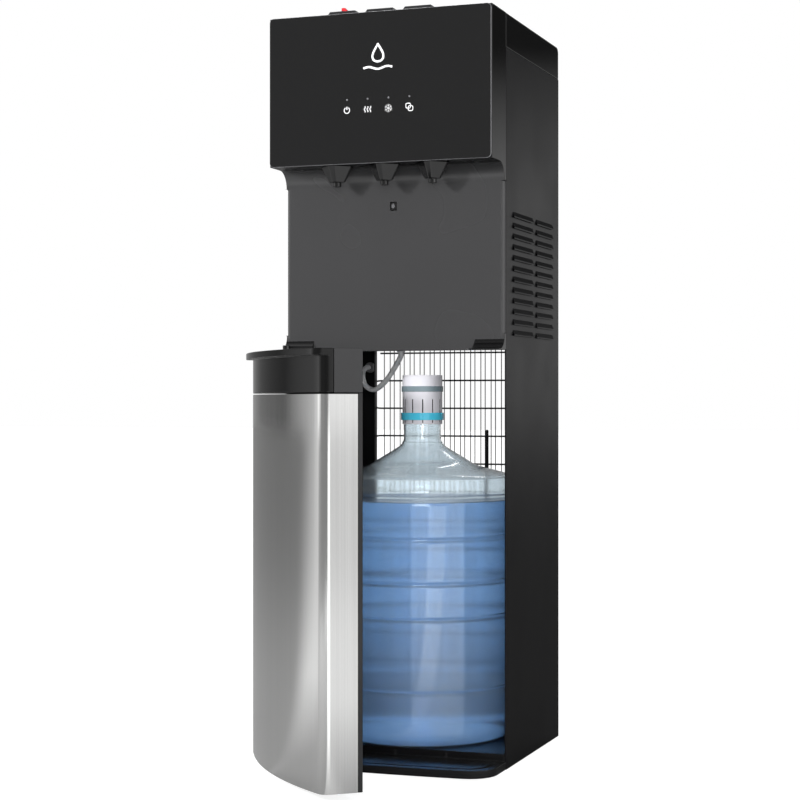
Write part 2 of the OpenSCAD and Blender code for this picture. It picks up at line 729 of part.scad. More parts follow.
module switch_plate() {
  w = 3 * rocker_pitch;
  y0 = y_cover;
  color("#151517") difference() {
    union() {
      block([rocker_x - w / 2 - 5, y0, rocker_z - 16], [rocker_x + w / 2 + 5, y0 + 2, rocker_z + 16]);
      block([rocker_x - w / 2 - 1.5, y_post - 14, rocker_z - 12.5],
        [rocker_x + w / 2 + 1.5, y0 + 0.5, rocker_z + 12.5]);
    }
    for (i = [-1:1]) block([rocker_x + i * rocker_pitch - 7, y_post - 11, rocker_z - 11],
      [rocker_x + i * rocker_pitch + 7, y0 + 3, rocker_z + 11]);
    // bearing of the keys' cross pins
    translate([rocker_x - w / 2 + 1, rocker_y, rocker_z]) rotate([0, 90, 0])
      cylinder(r = rocker_pin + run, h = w - 2);
  }
}

// A switch key that rocks about a cross pin, at rest with its lower half pressed
module rocker(i) {
  half = 6.4;
  pin_reach = 8.6;
  translate([rocker_x + i * rocker_pitch, rocker_y, rocker_z]) rotate([-rocker_tilt, 0, 0]) {
    rotate([90, 0, 90]) translate([0, 0, -half]) linear_extrude(2 * half)
      polygon([[-3, -9], [4.2, -9.6], [2.6, 0], [4.2, 9.6], [-3, 9]]);
    rotate([0, 90, 0]) translate([0, 0, -pin_reach]) cylinder(r = rocker_pin, h = 2 * pin_reach);
  }
}
module rocker_heat() { color("#b3202a") rocker(-1); }
module rocker_cool() { color("#1f7a3a") rocker(0); }
module rocker_light() { color("#1c1c1e") rocker(1); }

module cord_gland() {
  color("#111111") translate([gland_x, 0, gland_z]) rotate([-90, 0, 0]) difference() {
    union() {
      translate([0, 0, y_post - sheet_t - 8]) cylinder(r = gland_r, h = sheet_t * 2 + 10);
      translate([0, 0, y_cover + 0.1]) cylinder(r = gland_r + 3, h = 3);
      translate([0, 0, y_cover + 3]) cylinder(r = 6.5, h = rear_recess - 6);
    }
    translate([0, 0, y_post - 20]) cylinder(r = cord_r, h = 60);
  }
}

module drain_cap() {
  color("#3a3a3c") translate([drain_x, y_cover + 4.3, drain_z]) rotate([-90, 0, 0]) {
    difference() {
      cylinder(r = 10, h = rear_recess - 7);
      for (a = [0:30:330]) rotate(a) translate([10.4, 0, -1]) cylinder(r = 1.2, h = 20);
    }
  }
}

// ---------------------------------------------------------------- condenser

module condenser_tube() {
  r = row_pitch / 2;
  color("#0f0f10") for (i = [0:rows - 1]) {
    z = condenser_top - i * row_pitch;
    translate([-row_half, condenser_y, z]) rotate([0, 90, 0])
      cylinder(r = condenser_r, h = 2 * row_half, $fn = 24);
    if (i < rows - 1) {
      s = i % 2 == 0 ? 1 : -1;
      translate([s * row_half, condenser_y, z - r]) rotate([90, 0, 0]) rotate([0, 0, s > 0 ? -90 : 90])
        rotate_extrude(angle = 180) translate([r, 0]) circle(r = condenser_r, $fn = 24);
    }
  }
}

module condenser_wires() {
  n = floor((row_half - 6) / wire_pitch);
  d = condenser_r + wire_r + 0.05;
  z0 = condenser_top - (rows - 1) * row_pitch - 14;
  color("#0f0f10") for (i = [-n:n]) translate([i * wire_pitch, condenser_y + (i % 2 == 0 ? -d : d), z0])
    cylinder(r = wire_r, h = condenser_top + 12 - z0, $fn = 16);
}

module condenser_brackets() {
  x = hw - post_w + 2;
  color("#26272a") for (s = [-1, 1], i = [1, 6, 11]) {
    z = condenser_top - i * row_pitch;
    block([s > 0 ? x : -x - 9, y_post, z - 9], [s > 0 ? x + 9 : -x, condenser_y - condenser_r - 0.05, z + 9]);
  }
}

// ---------------------------------------------------------------- hose, hinge and catch

module hose_fitting_top() {
  p = hose_route[0];
  color("#dfe2e4") translate([p[0], p[1], 0]) {
    translate([0, 0, ceiling_z - 4]) cylinder(r = 9, h = 3.9);
    translate([0, 0, ceiling_z - 1]) cylinder(r = 6.7, h = shelf_t + 12);
    translate([0, 0, p[2]]) cylinder(r = 6, h = ceiling_z - 4 - p[2]);
  }
}

module hose_fitting_rear() {
  p = hose_route[len(hose_route) - 1];
  color("#9a9da0") {
    translate([p[0], y_post - sheet_t - 6, p[2]]) rotate([-90, 0, 0]) cylinder(r = 8, h = 6);
    translate([p[0], p[1], p[2]]) rotate([-90, 0, 0]) cylinder(r = 5.5, h = y_post - sheet_t - 5.9 - p[1]);
  }
}

module supply_hose() { color("#dfe6e8") swept_tube(hose_route, hose_r, 10); }

module hinge_pin_top() {
  color("silver") translate([hinge_x, hinge_y, door_z1 - 14])
    cylinder(r = pin_r, h = alcove_z0 + 7 - door_z1 + 14);
}
module hinge_pin_bottom() {
  color("silver") translate([hinge_x, hinge_y, foot_h]) cylinder(r = pin_r, h = door_z0 + 10 - foot_h);
}

catch_x = hw - 34;
catch_y = door_back - 9;
module door_catch() {
  color("silver") translate([catch_x, catch_y, alcove_z0]) block([-12.5, -6.5, 0], [12.5, 6.5, 1]);
}

// ---------------------------------------------------------------- door

module door_skin() {
  outer = bow_outline(door_w, steel_back, door_front, door_corner, door_bow);
  inner = bow_outline(door_w - 2 * skin_t, steel_back + 1, door_front + skin_t, door_corner - skin_t,
    door_bow - skin_t);
  color("#b9bcbf") door_at_rest() difference() {
    slab(outer, door_z0, band_z0 - gap);
    slab(inner, door_z0 - 1, band_z0);
  }
}

module door_liner() {
  t = skin_t + 0.1;
  z1 = band_z0 - 0.1;
  y_tub = steel_back - 15;            // floor of the recess that clears the bottle
  edge = bow_outline(door_w - 2 * t, steel_back, door_front + t, door_corner - t, door_bow - t);
  inside = bow_outline(door_w - 2 * (t + wall), y_tub - 2 * wall, door_front + t + wall,
    door_corner - t - wall, door_bow - t - wall);
  xr = door_w / 2 - 13;
  color("#1b1b1d") door_at_rest() difference() {
    union() {
      block([-door_w / 2, steel_back, door_z0], [door_w / 2, door_back, z1]);
      slab(edge, door_z0, z1 - gap);
    }
    slab(inside, door_z0 + 4, z1 + 1);
    block([-xr, y_tub, door_z0 + 14], [xr, door_back + 1, z1 - 12]);
    translate([hinge_x, hinge_y, door_z0 - 1]) cylinder(r = pin_r + run, h = 13);
  }
}

// Carrier at the top of the door, with a pocket for the tray's pan
module door_band() {
  outer = bow_outline(door_w, door_back, door_front, door_corner, door_bow);
  z_floor = tray_floor - wall - fit;
  color("#29292b") door_at_rest() difference() {
    slab(outer, band_z0, door_z1);
    // everything in front of the split belongs to the tray
    block([-door_w, door_front - 20, band_z0 - 1], [door_w, tray_split, door_z1 + 1]);
    pocket = tray_half + fit + 0.2;
    block([-pocket, tray_split - 1, z_floor], [pocket, door_back - 5, door_z1 + 1]);
    // underside hollow
    block([-door_w / 2 + 20, tray_split + wall, band_z0 - 1],
      [door_w / 2 - wall, door_back - wall, z_floor - wall]);
    translate([hinge_x, hinge_y, door_z1 - 16]) cylinder(r = pin_r + run, h = 20);
    block([catch_x - 12, catch_y - 6, door_z1 - 8], [catch_x + 12, catch_y + 6, door_z1 + 1]);
  }
}

module door_magnet() {
  color("#3c3c40") door_at_rest() translate([catch_x, catch_y, door_z1 - 8]) block([-12, -6, 0], [12, 6, 8]);
}

// Removable tray: curved front with a grab lip, and a pan that slides into the band
module drip_tray() {
  outer = bow_outline(door_w, tray_split - fit, door_front, door_corner, door_bow);
  inner = bow_outline(door_w - 2 * wall, tray_split - fit - wall, door_front + wall, door_corner - wall,
    door_bow - wall);
  lip = bow_outline(door_w, tray_split - fit, door_front - lip_reach, door_corner, door_bow);
  y1 = door_back - 5 - fit;
  color("#1b1b1d") door_at_rest() {
    difference() {
      union() {
        slab(outer, band_z0, door_z1);
        slab(lip, door_z1 - lip_t, door_z1);
        block([-tray_half, tray_split - 3, tray_floor - wall], [tray_half, y1, door_z1]);
      }
      slab(inner, band_z0 - 1, tray_floor - wall);
      // the pan's hollow, and the step that carries the grille
      block([-tray_half + wall, door_front + 18, tray_floor], [tray_half - wall, y1 - wall, door_z1 + 1]);
      block([-tray_half + 1.2, door_front + 16.5, door_z1 - 3], [tray_half - 1.2, y1 - 1, door_z1 + 1]);
    }
  }
}

module drip_grille() {
  y0 = door_front + 16.5 + fit;
  y1 = door_back - 5 - fit - 1 - fit;
  x = tray_half - 1.2 - fit;
  n = 14;
  step = 2 * (x - 6) / n;
  color("#18181a") door_at_rest() difference() {
    block([-x, y0, door_z1 - 3 + fit], [x, y1, door_z1]);
    for (i = [0:n - 1]) block([-x + 6 + i * step + 1.5, y0 + 5, door_z1 - 5],
      [-x + 6 + (i + 1) * step - 1.5, y1 - 5, door_z1 + 1]);
  }
}

// ---------------------------------------------------------------- bottle

// Half profile of the bottle, [radius, height above its foot], with its rings, out by g
function bottle_profile(g) =
  let (r = bottle_r - g, foot = 18, s = shoulder_h)
  concat([[0, 6 + g], [r - 40, 6 + g], [r - 30, g], [r - foot, g]],
    arc([r - foot, foot + g], foot, -90, 0, 5),
    [for (h = grooves, k = [-1:1]) [k == 0 ? r - groove_r : r, h + k * groove_r]],
    [[r, s - 8], [r - 3, s - 4], [r, s], [r, s + 8]],
    arc([r - 24, s + 8], 24, 0, 56, 5),
    [[r - 54, s + 40 - g * 0.4], [r - 74, s + 51 - g * 0.4]],
    [[neck_r + 8 - g, s + 67 - g * 0.5], [neck_r + 2 - g, s + 74], [neck_r - g, s + 84]]);

module bottle_solid(g, top) {
  rotate_extrude() polygon(concat(bottle_profile(g), [[neck_r - g, top], [0, top]]));
}

module water_bottle() {
  color("#7fa8dc") translate([0, bottle_y, bottle_z]) difference() {
    bottle_solid(0, shoulder_h + 140);
    bottle_solid(bottle_t, shoulder_h + 150);
  }
}

module bottle_water() {
  color("#3f7fd0") translate([0, bottle_y, bottle_z]) intersection() {
    bottle_solid(bottle_t + 0.2, shoulder_h + 70);
    cylinder(r = bottle_r + 5, h = water_h);
  }
}

module bottle_cap() {
  z0 = cap_z0;
  color("#f0f0f2") difference() {
    translate([0, bottle_y, 0]) union() {
      translate([0, 0, z0]) cylinder(r = cap_r, h = cap_h);
      translate([0, 0, z0 + 6]) cylinder(r = cap_r + 2.2, h = 10.5);
      translate([0, 0, z0 + 47]) cylinder(r = cap_r + 1.3, h = 8);
    }
    translate([0, bottle_y, z0 - 1]) cylinder(r = neck_r + fit, h = 43);
    for (a = [20:30:350]) translate([0, bottle_y, 0]) rotate(a)
      block([cap_r - 1.6, -0.7, z0 + 2], [cap_r + 0.4, 0.7, z0 + 36]);
  }
}

// ---------------------------------------------------------------- drawing

base_pan();
base_feet();
side_panel_left();
side_panel_right();
bay_liner_left();
bay_liner_right();
bay_ceiling();
front_fascia();
display_panel();
indicator_lenses();
night_light_lens();
top_cover();
rear_cover();
cover_screws();
condenser_tube();
condenser_wires();
condenser_brackets();
spout_hot();
spout_room();
spout_cold();
outlet_tubes();
solenoid_valves();
compressor();
compressor_grommets();
discharge_line();
filter_drier();
tank_shelf();
cold_tank();
evaporator_coil();
cold_tank_foam();
hot_tank();
heater_band();
water_pump();
control_board();
button_switches();
switch_plate();
cord_gland();
drain_cap();
hose_fitting_top();
hose_fitting_rear();
supply_hose();
hinge_pin_top();
hinge_pin_bottom();
door_catch();
door_skin();
door_liner();
door_band();
door_magnet();
drip_tray();
drip_grille();
button_hot();
button_room();
button_cold();
child_lock();
rocker_heat();
rocker_cool();
rocker_light();
water_bottle();
bottle_water();
bottle_cap();
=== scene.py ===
# %% [markdown]
# # A bottom-loading water dispenser, part by part
# The cabinet, its door, the head and everything that moves come from a finished CAD frame. This notebook
# gives each piece its real finish: soft edges, brushed steel, satin and gloss mouldings, a tinted bottle.
# It opens the frame first, and keeps the size of the bare frame to compare with at the end.

# %% Open the frame
import json
import math
import bmesh
import bpy
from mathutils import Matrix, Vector


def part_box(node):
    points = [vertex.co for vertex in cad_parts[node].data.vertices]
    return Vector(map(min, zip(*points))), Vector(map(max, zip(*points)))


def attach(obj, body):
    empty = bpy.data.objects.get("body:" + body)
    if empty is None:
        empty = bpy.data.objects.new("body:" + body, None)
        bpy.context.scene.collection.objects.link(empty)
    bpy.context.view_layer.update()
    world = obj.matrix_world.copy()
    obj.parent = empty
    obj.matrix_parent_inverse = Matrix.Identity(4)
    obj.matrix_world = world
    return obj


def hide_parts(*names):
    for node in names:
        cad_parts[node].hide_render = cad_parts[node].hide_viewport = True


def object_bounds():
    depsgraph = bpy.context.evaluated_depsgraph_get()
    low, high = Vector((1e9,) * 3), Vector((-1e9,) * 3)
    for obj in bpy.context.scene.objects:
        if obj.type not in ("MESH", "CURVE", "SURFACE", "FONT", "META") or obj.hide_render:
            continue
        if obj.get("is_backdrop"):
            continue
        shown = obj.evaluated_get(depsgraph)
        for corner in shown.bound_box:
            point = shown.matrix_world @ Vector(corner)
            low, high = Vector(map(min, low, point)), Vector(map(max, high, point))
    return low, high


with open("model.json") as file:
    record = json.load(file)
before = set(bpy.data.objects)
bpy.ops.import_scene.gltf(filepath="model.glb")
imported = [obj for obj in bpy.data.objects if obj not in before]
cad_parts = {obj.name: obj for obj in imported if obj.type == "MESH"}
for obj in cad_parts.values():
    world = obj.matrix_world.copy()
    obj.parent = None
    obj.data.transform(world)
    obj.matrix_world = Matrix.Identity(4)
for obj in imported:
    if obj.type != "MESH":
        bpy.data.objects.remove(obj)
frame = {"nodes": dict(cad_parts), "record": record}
cad_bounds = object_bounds()
MM = 0.001
nodes = frame["nodes"]
body_of_node = {n: b for b, ns in frame["record"]["behaviour"]["bodies"].items() for n in ns}

# %% [markdown]
# ## Camera
# The camera stands far away with a long lens, level, at half the height of the cabinet and a little to its
# right. A level camera keeps upright edges parallel, which suits tall appliances.

# %% Place the camera
CAMERA_AT = Vector((0.8901, -2.5717, 0.5055))
CAMERA_YAW = math.radians(19.93)
CAMERA_PITCH = math.radians(0.08)
LENS_MM = 83.4


def placed(name, data):
    """A new object, linked into the scene."""
    made = bpy.data.objects.new(name, data)
    bpy.context.collection.objects.link(made)
    return made


camera_data = bpy.data.cameras.new("camera")
camera_data.lens = LENS_MM
camera_data.sensor_width = 36
camera_data.clip_end = 60
camera = placed("camera", camera_data)
camera.location = CAMERA_AT
camera.rotation_euler = (math.pi / 2 + CAMERA_PITCH, 0, CAMERA_YAW)
bpy.context.scene.camera = camera
print("camera:", [round(v, 3) for v in CAMERA_AT], "lens", LENS_MM)

# %% [markdown]
# ## Studio
# Black gloss shows its surroundings, so they matter more than the lamps. The eye sees a white room and a white
# floor. Reflections see a room that is bright in front on the right and dim behind, with one window high up at
# the back. Three soft lamps light what isn't glossy: a small one on the left, which throws the spouts' shadows
# to the right, a larger one in front and a very large one above.

# %% Build the world, the floor and the lamps
def node(tree, kind, at=(0, 0), **settings):
    """Adds a node to a tree and sets its properties."""
    n = tree.nodes.new(kind)
    n.location = at
    for key, value in settings.items():
        setattr(n, key, value)
    return n


def feed(tree, socket, value):
    """Links a socket to an output, or gives it a plain value."""
    if isinstance(value, bpy.types.NodeSocket):
        tree.links.new(value, socket)
    elif value is not None:
        socket.default_value = value


def math_node(tree, operation, *values):
    """Adds a Math node. Its values are sockets or numbers."""
    n = node(tree, "ShaderNodeMath", operation=operation)
    for socket, value in zip(n.inputs, values):
        feed(tree, socket, value)
    return n.outputs[0]


def ramp(tree, value, stops):
    """A colour ramp that gives grey values. stops are (position, value)."""
    n = node(tree, "ShaderNodeValToRGB")
    elements = n.color_ramp.elements
    while len(elements) < len(stops):
        elements.new(0.5)
    for element, (position, level) in zip(elements, stops):
        element.position = position
        element.color = (level, level, level, 1)
    tree.links.new(value, n.inputs[0])
    return n.outputs[0]


def compass_of(tree, place):
    """The heading of a place or direction, 0 to 1, where 0.5 is the front, and its height."""
    split = node(tree, "ShaderNodeSeparateXYZ")
    tree.links.new(place, split.inputs[0])
    ahead = math_node(tree, "MULTIPLY", split.outputs["Y"], -1.0)
    turn = math_node(tree, "DIVIDE", math_node(tree, "ARCTAN2", split.outputs["X"], ahead), 2 * math.pi)
    return math_node(tree, "ADD", turn, 0.5), split.outputs["Z"]


WINDOW_LIGHT = 10.0


def build_world():
    """Radiance by compass heading times a fall-off with height, and one bright window high up behind."""
    world = bpy.data.worlds.new("studio")
    bpy.context.scene.world = world
    world.use_nodes = True
    tree = world.node_tree
    tree.nodes.clear()
    place = node(tree, "ShaderNodeTexCoord")
    compass, height = compass_of(tree, place.outputs["Generated"])
    around = ramp(tree, compass, [
        (0.0, 0.30), (0.06, 0.22), (0.09, 0.34), (0.13, 0.20), (0.19, 0.14), (0.235, 0.7), (0.265, 1.7),
        (0.33, 1.3), (0.39, 0.40), (0.46, 0.42), (0.51, 0.30), (0.58, 0.40), (0.63, 1.2), (0.69, 1.5),
        (0.72, 2.8), (0.77, 1.9), (0.80, 0.5), (0.92, 0.62), (1.0, 0.34)])
    lift = math_node(tree, "MULTIPLY_ADD", height, 0.5, 0.5)
    behind = ramp(tree, compass, [(0.0, 0.9), (0.05, 0.0), (0.76, 0.0), (0.83, 1.0), (1.0, 1.0)])
    low_only = ramp(tree, lift, [(0.0, 1.0), (0.555, 1.0), (0.575, 0.5), (0.592, 0.05), (1.0, 0.3)])
    lost = math_node(tree, "MULTIPLY", behind, math_node(tree, "SUBTRACT", 1.0, low_only))
    dim = math_node(tree, "SUBTRACT", 1.0, lost)
    upper = ramp(tree, lift, [(0.0, 1.0), (0.64, 1.0), (0.75, 0.6), (0.9, 0.45), (1.0, 0.5)])
    glow = math_node(tree, "MULTIPLY", math_node(tree, "MULTIPLY", around, dim), upper)
    wide = ramp(tree, compass, [(0.0, 1.0), (0.085, 1.0), (0.095, 0.0), (0.985, 0.0), (0.995, 1.0)])
    tall = ramp(tree, lift, [(0.80, 0.0), (0.81, 1.0), (0.90, 1.0), (0.91, 0.0)])
    window = math_node(tree, "MULTIPLY", math_node(tree, "MULTIPLY", wide, tall), WINDOW_LIGHT)
    glow = math_node(tree, "ADD", glow, window)
    studio = node(tree, "ShaderNodeBackground")
    tree.links.new(glow, studio.inputs["Color"])
    white = node(tree, "ShaderNodeBackground")
    white.inputs["Color"].default_value = (1, 1, 1, 1)
    seen = node(tree, "ShaderNodeLightPath")
    through = math_node(tree, "MAXIMUM", seen.outputs["Is Camera Ray"], seen.outputs["Is Transmission Ray"])
    mix = node(tree, "ShaderNodeMixShader")
    out = node(tree, "ShaderNodeOutputWorld")
    tree.links.new(through, mix.inputs[0])
    tree.links.new(studio.outputs[0], mix.inputs[1])
    tree.links.new(white.outputs[0], mix.inputs[2])
    tree.links.new(mix.outputs[0], out.inputs[0])


def area_lamp(name, at, look, size, watts):
    """A square lamp that lights the scene but doesn't show in gloss."""
    data = bpy.data.lights.new(name, "AREA")
    data.size = size
    data.energy = watts
    lamp = placed(name, data)
    lamp.location = at
    lamp.rotation_euler = (Vector(look) - Vector(at)).to_track_quat("-Z", "Y").to_euler()
    lamp.visible_glossy = False


build_world()
area_lamp("key_left", (-1.25, -2.25, 1.25), (0, -0.1, 0.6), 0.30, 55)
area_lamp("fill_front", (0.9, -2.9, 0.85), (0.1, 0, 0.45), 1.1, 54)
area_lamp("top_soft", (0.0, -0.6, 3.0), (0, 0, 0.5), 2.4, 30)
bpy.context.scene.view_settings.view_transform = "Standard"

FLOOR = 30
floor_mesh = bpy.data.meshes.new("floor")
floor_mesh.from_pydata([(-FLOOR, -FLOOR, 0), (FLOOR, -FLOOR, 0), (FLOOR, FLOOR, 0), (-FLOOR, FLOOR, 0)], [],
                       [(0, 1, 2, 3)])
floor = placed("floor", floor_mesh)
floor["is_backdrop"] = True
print("studio: three lamps and a pale floor")

# %% [markdown]
# ## Shared shader effects
# Mouldings, painted sheet and steel share a few effects: a fine grain in the surface, patches where the
# gloss changes slightly, and a long grain from brushing. Each is a node group with named inputs, built once.

# %% Make the node groups
def new_group(name, inputs, outputs):
    """A shader node group. inputs are (name, default), outputs are names."""
    tree = bpy.data.node_groups.new(name, "ShaderNodeTree")
    for label, default in inputs:
        socket = tree.interface.new_socket(label, in_out="INPUT", socket_type="NodeSocketFloat")
        socket.default_value = default
    for label in outputs:
        tree.interface.new_socket(label, in_out="OUTPUT", socket_type="NodeSocketFloat")
    into = node(tree, "NodeGroupInput", (-700, 0))
    out = node(tree, "NodeGroupOutput", (500, 0))
    return tree, into, out


def noise(tree, vector, scale, detail=2.0, roughness=0.5):
    """3-D noise on a vector. scale is a socket or a number."""
    n = node(tree, "ShaderNodeTexNoise")
    n.inputs["Detail"].default_value = detail
    n.inputs["Roughness"].default_value = roughness
    tree.links.new(vector, n.inputs["Vector"])
    feed(tree, n.inputs["Scale"], scale)
    return n.outputs["Fac"]


def fine_grain_group():
    tree, into, out = new_group("fine grain", [("Scale", 900.0)], ["Height"])
    place = node(tree, "ShaderNodeTexCoord")
    coarse = noise(tree, place.outputs["Object"], into.outputs["Scale"], 3.0, 0.6)
    tree.links.new(coarse, out.inputs["Height"])
    return tree


def uneven_gloss_group():
    tree, into, out = new_group("uneven gloss", [("Scale", 9.0), ("Low", 0.2), ("High", 0.3)],
                                ["Roughness", "Patch"])
    place = node(tree, "ShaderNodeTexCoord")
    patch = noise(tree, place.outputs["Object"], into.outputs["Scale"], 1.0, 0.4)
    spread = node(tree, "ShaderNodeMapRange")
    spread.inputs["From Min"].default_value = 0.35
    spread.inputs["From Max"].default_value = 0.65
    tree.links.new(patch, spread.inputs["Value"])
    tree.links.new(into.outputs["Low"], spread.inputs["To Min"])
    tree.links.new(into.outputs["High"], spread.inputs["To Max"])
    tree.links.new(spread.outputs["Result"], out.inputs["Roughness"])
    tree.links.new(patch, out.inputs["Patch"])
    return tree


def brushed_group():
    tree, into, out = new_group("brushed grain", [("Across", 1400.0), ("Along", 3.0)], ["Height", "Streak"])
    place = node(tree, "ShaderNodeTexCoord")
    split = node(tree, "ShaderNodeSeparateXYZ")
    tree.links.new(place.outputs["Object"], split.inputs[0])
    join = node(tree, "ShaderNodeCombineXYZ")
    for axis, stretch in (("X", "Across"), ("Y", "Across"), ("Z", "Along")):
        stretched = math_node(tree, "MULTIPLY", split.outputs[axis], into.outputs[stretch])
        tree.links.new(stretched, join.inputs[axis])
    fine = noise(tree, join.outputs[0], 1.0, 3.0, 0.7)
    broad = noise(tree, join.outputs[0], 0.16, 2.0, 0.5)
    tree.links.new(fine, out.inputs["Height"])
    tree.links.new(math_node(tree, "MULTIPLY", math_node(tree, "ADD", fine, broad), 0.5), out.inputs["Streak"])
    return tree


def top_dust_group():
    tree, into, out = new_group("settled dust", [("Amount", 0.3)], ["Mask"])
    shape = node(tree, "ShaderNodeNewGeometry")
    split = node(tree, "ShaderNodeSeparateXYZ")
    tree.links.new(shape.outputs["Normal"], split.inputs[0])
    place = node(tree, "ShaderNodeTexCoord")
    speck = noise(tree, place.outputs["Object"], 160.0, 4.0, 0.7)
    up = math_node(tree, "MAXIMUM", split.outputs["Z"], 0.0)
    mask = math_node(tree, "MULTIPLY", math_node(tree, "MULTIPLY", up, speck), into.outputs["Amount"])
    tree.links.new(mask, out.inputs["Mask"])
    return tree


GRAIN = fine_grain_group()
GLOSS = uneven_gloss_group()
BRUSHED = brushed_group()
DUST = top_dust_group()
print("effects:", [g.name for g in (GRAIN, GLOSS, BRUSHED, DUST)])

# %% [markdown]
# ## Finishes
# Most pieces are moulded plastic or painted sheet. One function makes them all: a base colour with slight
# patches, a roughness that wanders between two values, a grain, and dust on what faces up. Metals, the
# tinted bottle and the water have functions of their own.

# %% Write the material makers
finishes = {}


def use_group(tree, group, **values):
    n = node(tree, "ShaderNodeGroup")
    n.node_tree = group
    for key, value in values.items():
        n.inputs[key].default_value = value
    return n


def new_finish(name):
    """Adds a material to the finishes. Gives its tree and its shader."""
    material = bpy.data.materials.new(name)
    material.use_nodes = True
    finishes[name] = material
    return material.node_tree, material.node_tree.nodes["Principled BSDF"]


def add_bump(tree, shader, height, strength, distance):
    bump = node(tree, "ShaderNodeBump")
    bump.inputs["Strength"].default_value = strength
    bump.inputs["Distance"].default_value = distance
    tree.links.new(height, bump.inputs["Height"])
    tree.links.new(bump.outputs[0], shader.inputs["Normal"])


def mix_colour(tree, factor, dark, light):
    m = node(tree, "ShaderNodeMix", data_type="RGBA")
    tree.links.new(factor, m.inputs["Factor"])
    for socket, value in ((m.inputs[6], dark), (m.inputs[7], light)):
        feed(tree, socket, (*value, 1) if isinstance(value, tuple) else value)
    return m.outputs[2]


def shade(colour, gain):
    return tuple(min(1.0, c * gain) for c in colour)


def moulded(name, colour, low, high, grain=(900.0, 0.04), coat=0.0, dust=0.12, specular=0.5, metallic=0.0):
    """Plastic, paint, rubber or foam."""
    tree, shader = new_finish(name)
    gloss = use_group(tree, GLOSS, Scale=9.0, Low=low, High=high)
    tree.links.new(gloss.outputs["Roughness"], shader.inputs["Roughness"])
    body = mix_colour(tree, gloss.outputs["Patch"], shade(colour, 0.94), shade(colour, 1.06))
    settled = use_group(tree, DUST, Amount=dust)
    pale = tuple(0.75 * c + 0.05 for c in colour)
    tree.links.new(mix_colour(tree, settled.outputs["Mask"], body, pale), shader.inputs["Base Color"])
    texture = use_group(tree, GRAIN, Scale=grain[0])
    add_bump(tree, shader, texture.outputs["Height"], grain[1], 0.0006)
    shader.inputs["Coat Weight"].default_value = coat
    shader.inputs["Coat Roughness"].default_value = 0.06
    shader.inputs["Specular IOR Level"].default_value = specular
    shader.inputs["Metallic"].default_value = metallic


def brushed(name, colour, low, high, across=1400.0, along=3.0, anisotropy=0.6, depth=0.05):
    """Stainless sheet with a long grain."""
    tree, shader = new_finish(name)
    streaks = use_group(tree, BRUSHED, Across=across, Along=along)
    gloss = use_group(tree, GLOSS, Scale=5.0, Low=low, High=high)
    swing = math_node(tree, "MULTIPLY", math_node(tree, "SUBTRACT", streaks.outputs["Streak"], 0.5), 0.10)
    rough = math_node(tree, "ADD", gloss.outputs["Roughness"], swing)
    tree.links.new(rough, shader.inputs["Roughness"])
    tone = mix_colour(tree, streaks.outputs["Streak"], shade(colour, 0.86), shade(colour, 1.12))
    tree.links.new(tone, shader.inputs["Base Color"])
    add_bump(tree, shader, streaks.outputs["Height"], depth, 0.0003)
    shader.inputs["Metallic"].default_value = 1.0
    shader.inputs["Anisotropic"].default_value = anisotropy


def bare_metal(name, colour, low, high):
    """Plated, drawn or polished metal."""
    tree, shader = new_finish(name)
    gloss = use_group(tree, GLOSS, Scale=60.0, Low=low, High=high)
    tree.links.new(gloss.outputs["Roughness"], shader.inputs["Roughness"])
    tone = mix_colour(tree, gloss.outputs["Patch"], shade(colour, 0.88), shade(colour, 1.1))
    tree.links.new(tone, shader.inputs["Base Color"])
    shader.inputs["Metallic"].default_value = 1.0


def clear(name, colour, low, high, transmission, ior=1.45, tint=0.03, coat=0.0):
    """Glass-like plastic and water, with a faint change of tint."""
    tree, shader = new_finish(name)
    gloss = use_group(tree, GLOSS, Scale=5.0, Low=low, High=high)
    tree.links.new(gloss.outputs["Roughness"], shader.inputs["Roughness"])
    tone = mix_colour(tree, gloss.outputs["Patch"], shade(colour, 1 - tint), shade(colour, 1 + tint))
    tree.links.new(tone, shader.inputs["Base Color"])
    shader.inputs["Transmission Weight"].default_value = transmission
    shader.inputs["Coat Weight"].default_value = coat
    shader.inputs["Coat Roughness"].default_value = 0.04
    shader.inputs["IOR"].default_value = ior


# %% [markdown]
# ## The palette
# Each finish below is one that the real cabinet has, except the lighter grey on the display panel's edges, which
# is a painted highlight. The head is piano black, the alcove behind the spouts is a lighter satin grey, the sheet
# sides have a fine powder coat, and the door is brushed stainless steel.

# %% Mix the finishes
moulded("gloss_black", (0.0028, 0.0028, 0.003), 0.05, 0.12, (400.0, 0.008), dust=0.1)
moulded("display_gloss", (0.0040, 0.0040, 0.0042), 0.04, 0.08, (300.0, 0.004), dust=0.05)
# A lighter grey for the display panel's edge faces: a painted highlight along its edges.
moulded("panel_edge_highlight", (0.19, 0.19, 0.20), 0.12, 0.22, (300.0, 0.01), coat=0.3)
moulded("head_satin", (0.0018, 0.0018, 0.0019), 0.06, 0.11, (1400.0, 0.015))
moulded("alcove_satin", (0.034, 0.034, 0.035), 0.22, 0.28, (1300.0, 0.05))
moulded("base_black", (0.006, 0.006, 0.0065), 0.14, 0.22, (700.0, 0.02), dust=0.2, specular=0.3)
moulded("coated_steel", (0.0065, 0.0065, 0.0070), 0.28, 0.34, (1700.0, 0.06), specular=0.18)
moulded("liner_black", (0.005, 0.005, 0.0055), 0.45, 0.6, (1100.0, 0.08))
moulded("condenser_black", (0.006, 0.006, 0.0065), 0.25, 0.4, (900.0, 0.05))
moulded("band_gloss", (0.0022, 0.0022, 0.0023), 0.05, 0.10, (500.0, 0.006), specular=0.28)
moulded("band_satin", (0.016, 0.016, 0.017), 0.18, 0.28, (1200.0, 0.03))
moulded("grille_black", (0.02, 0.02, 0.021), 0.25, 0.35, (1200.0, 0.05))
moulded("spout_black", (0.004, 0.004, 0.0042), 0.05, 0.10, (1200.0, 0.008))
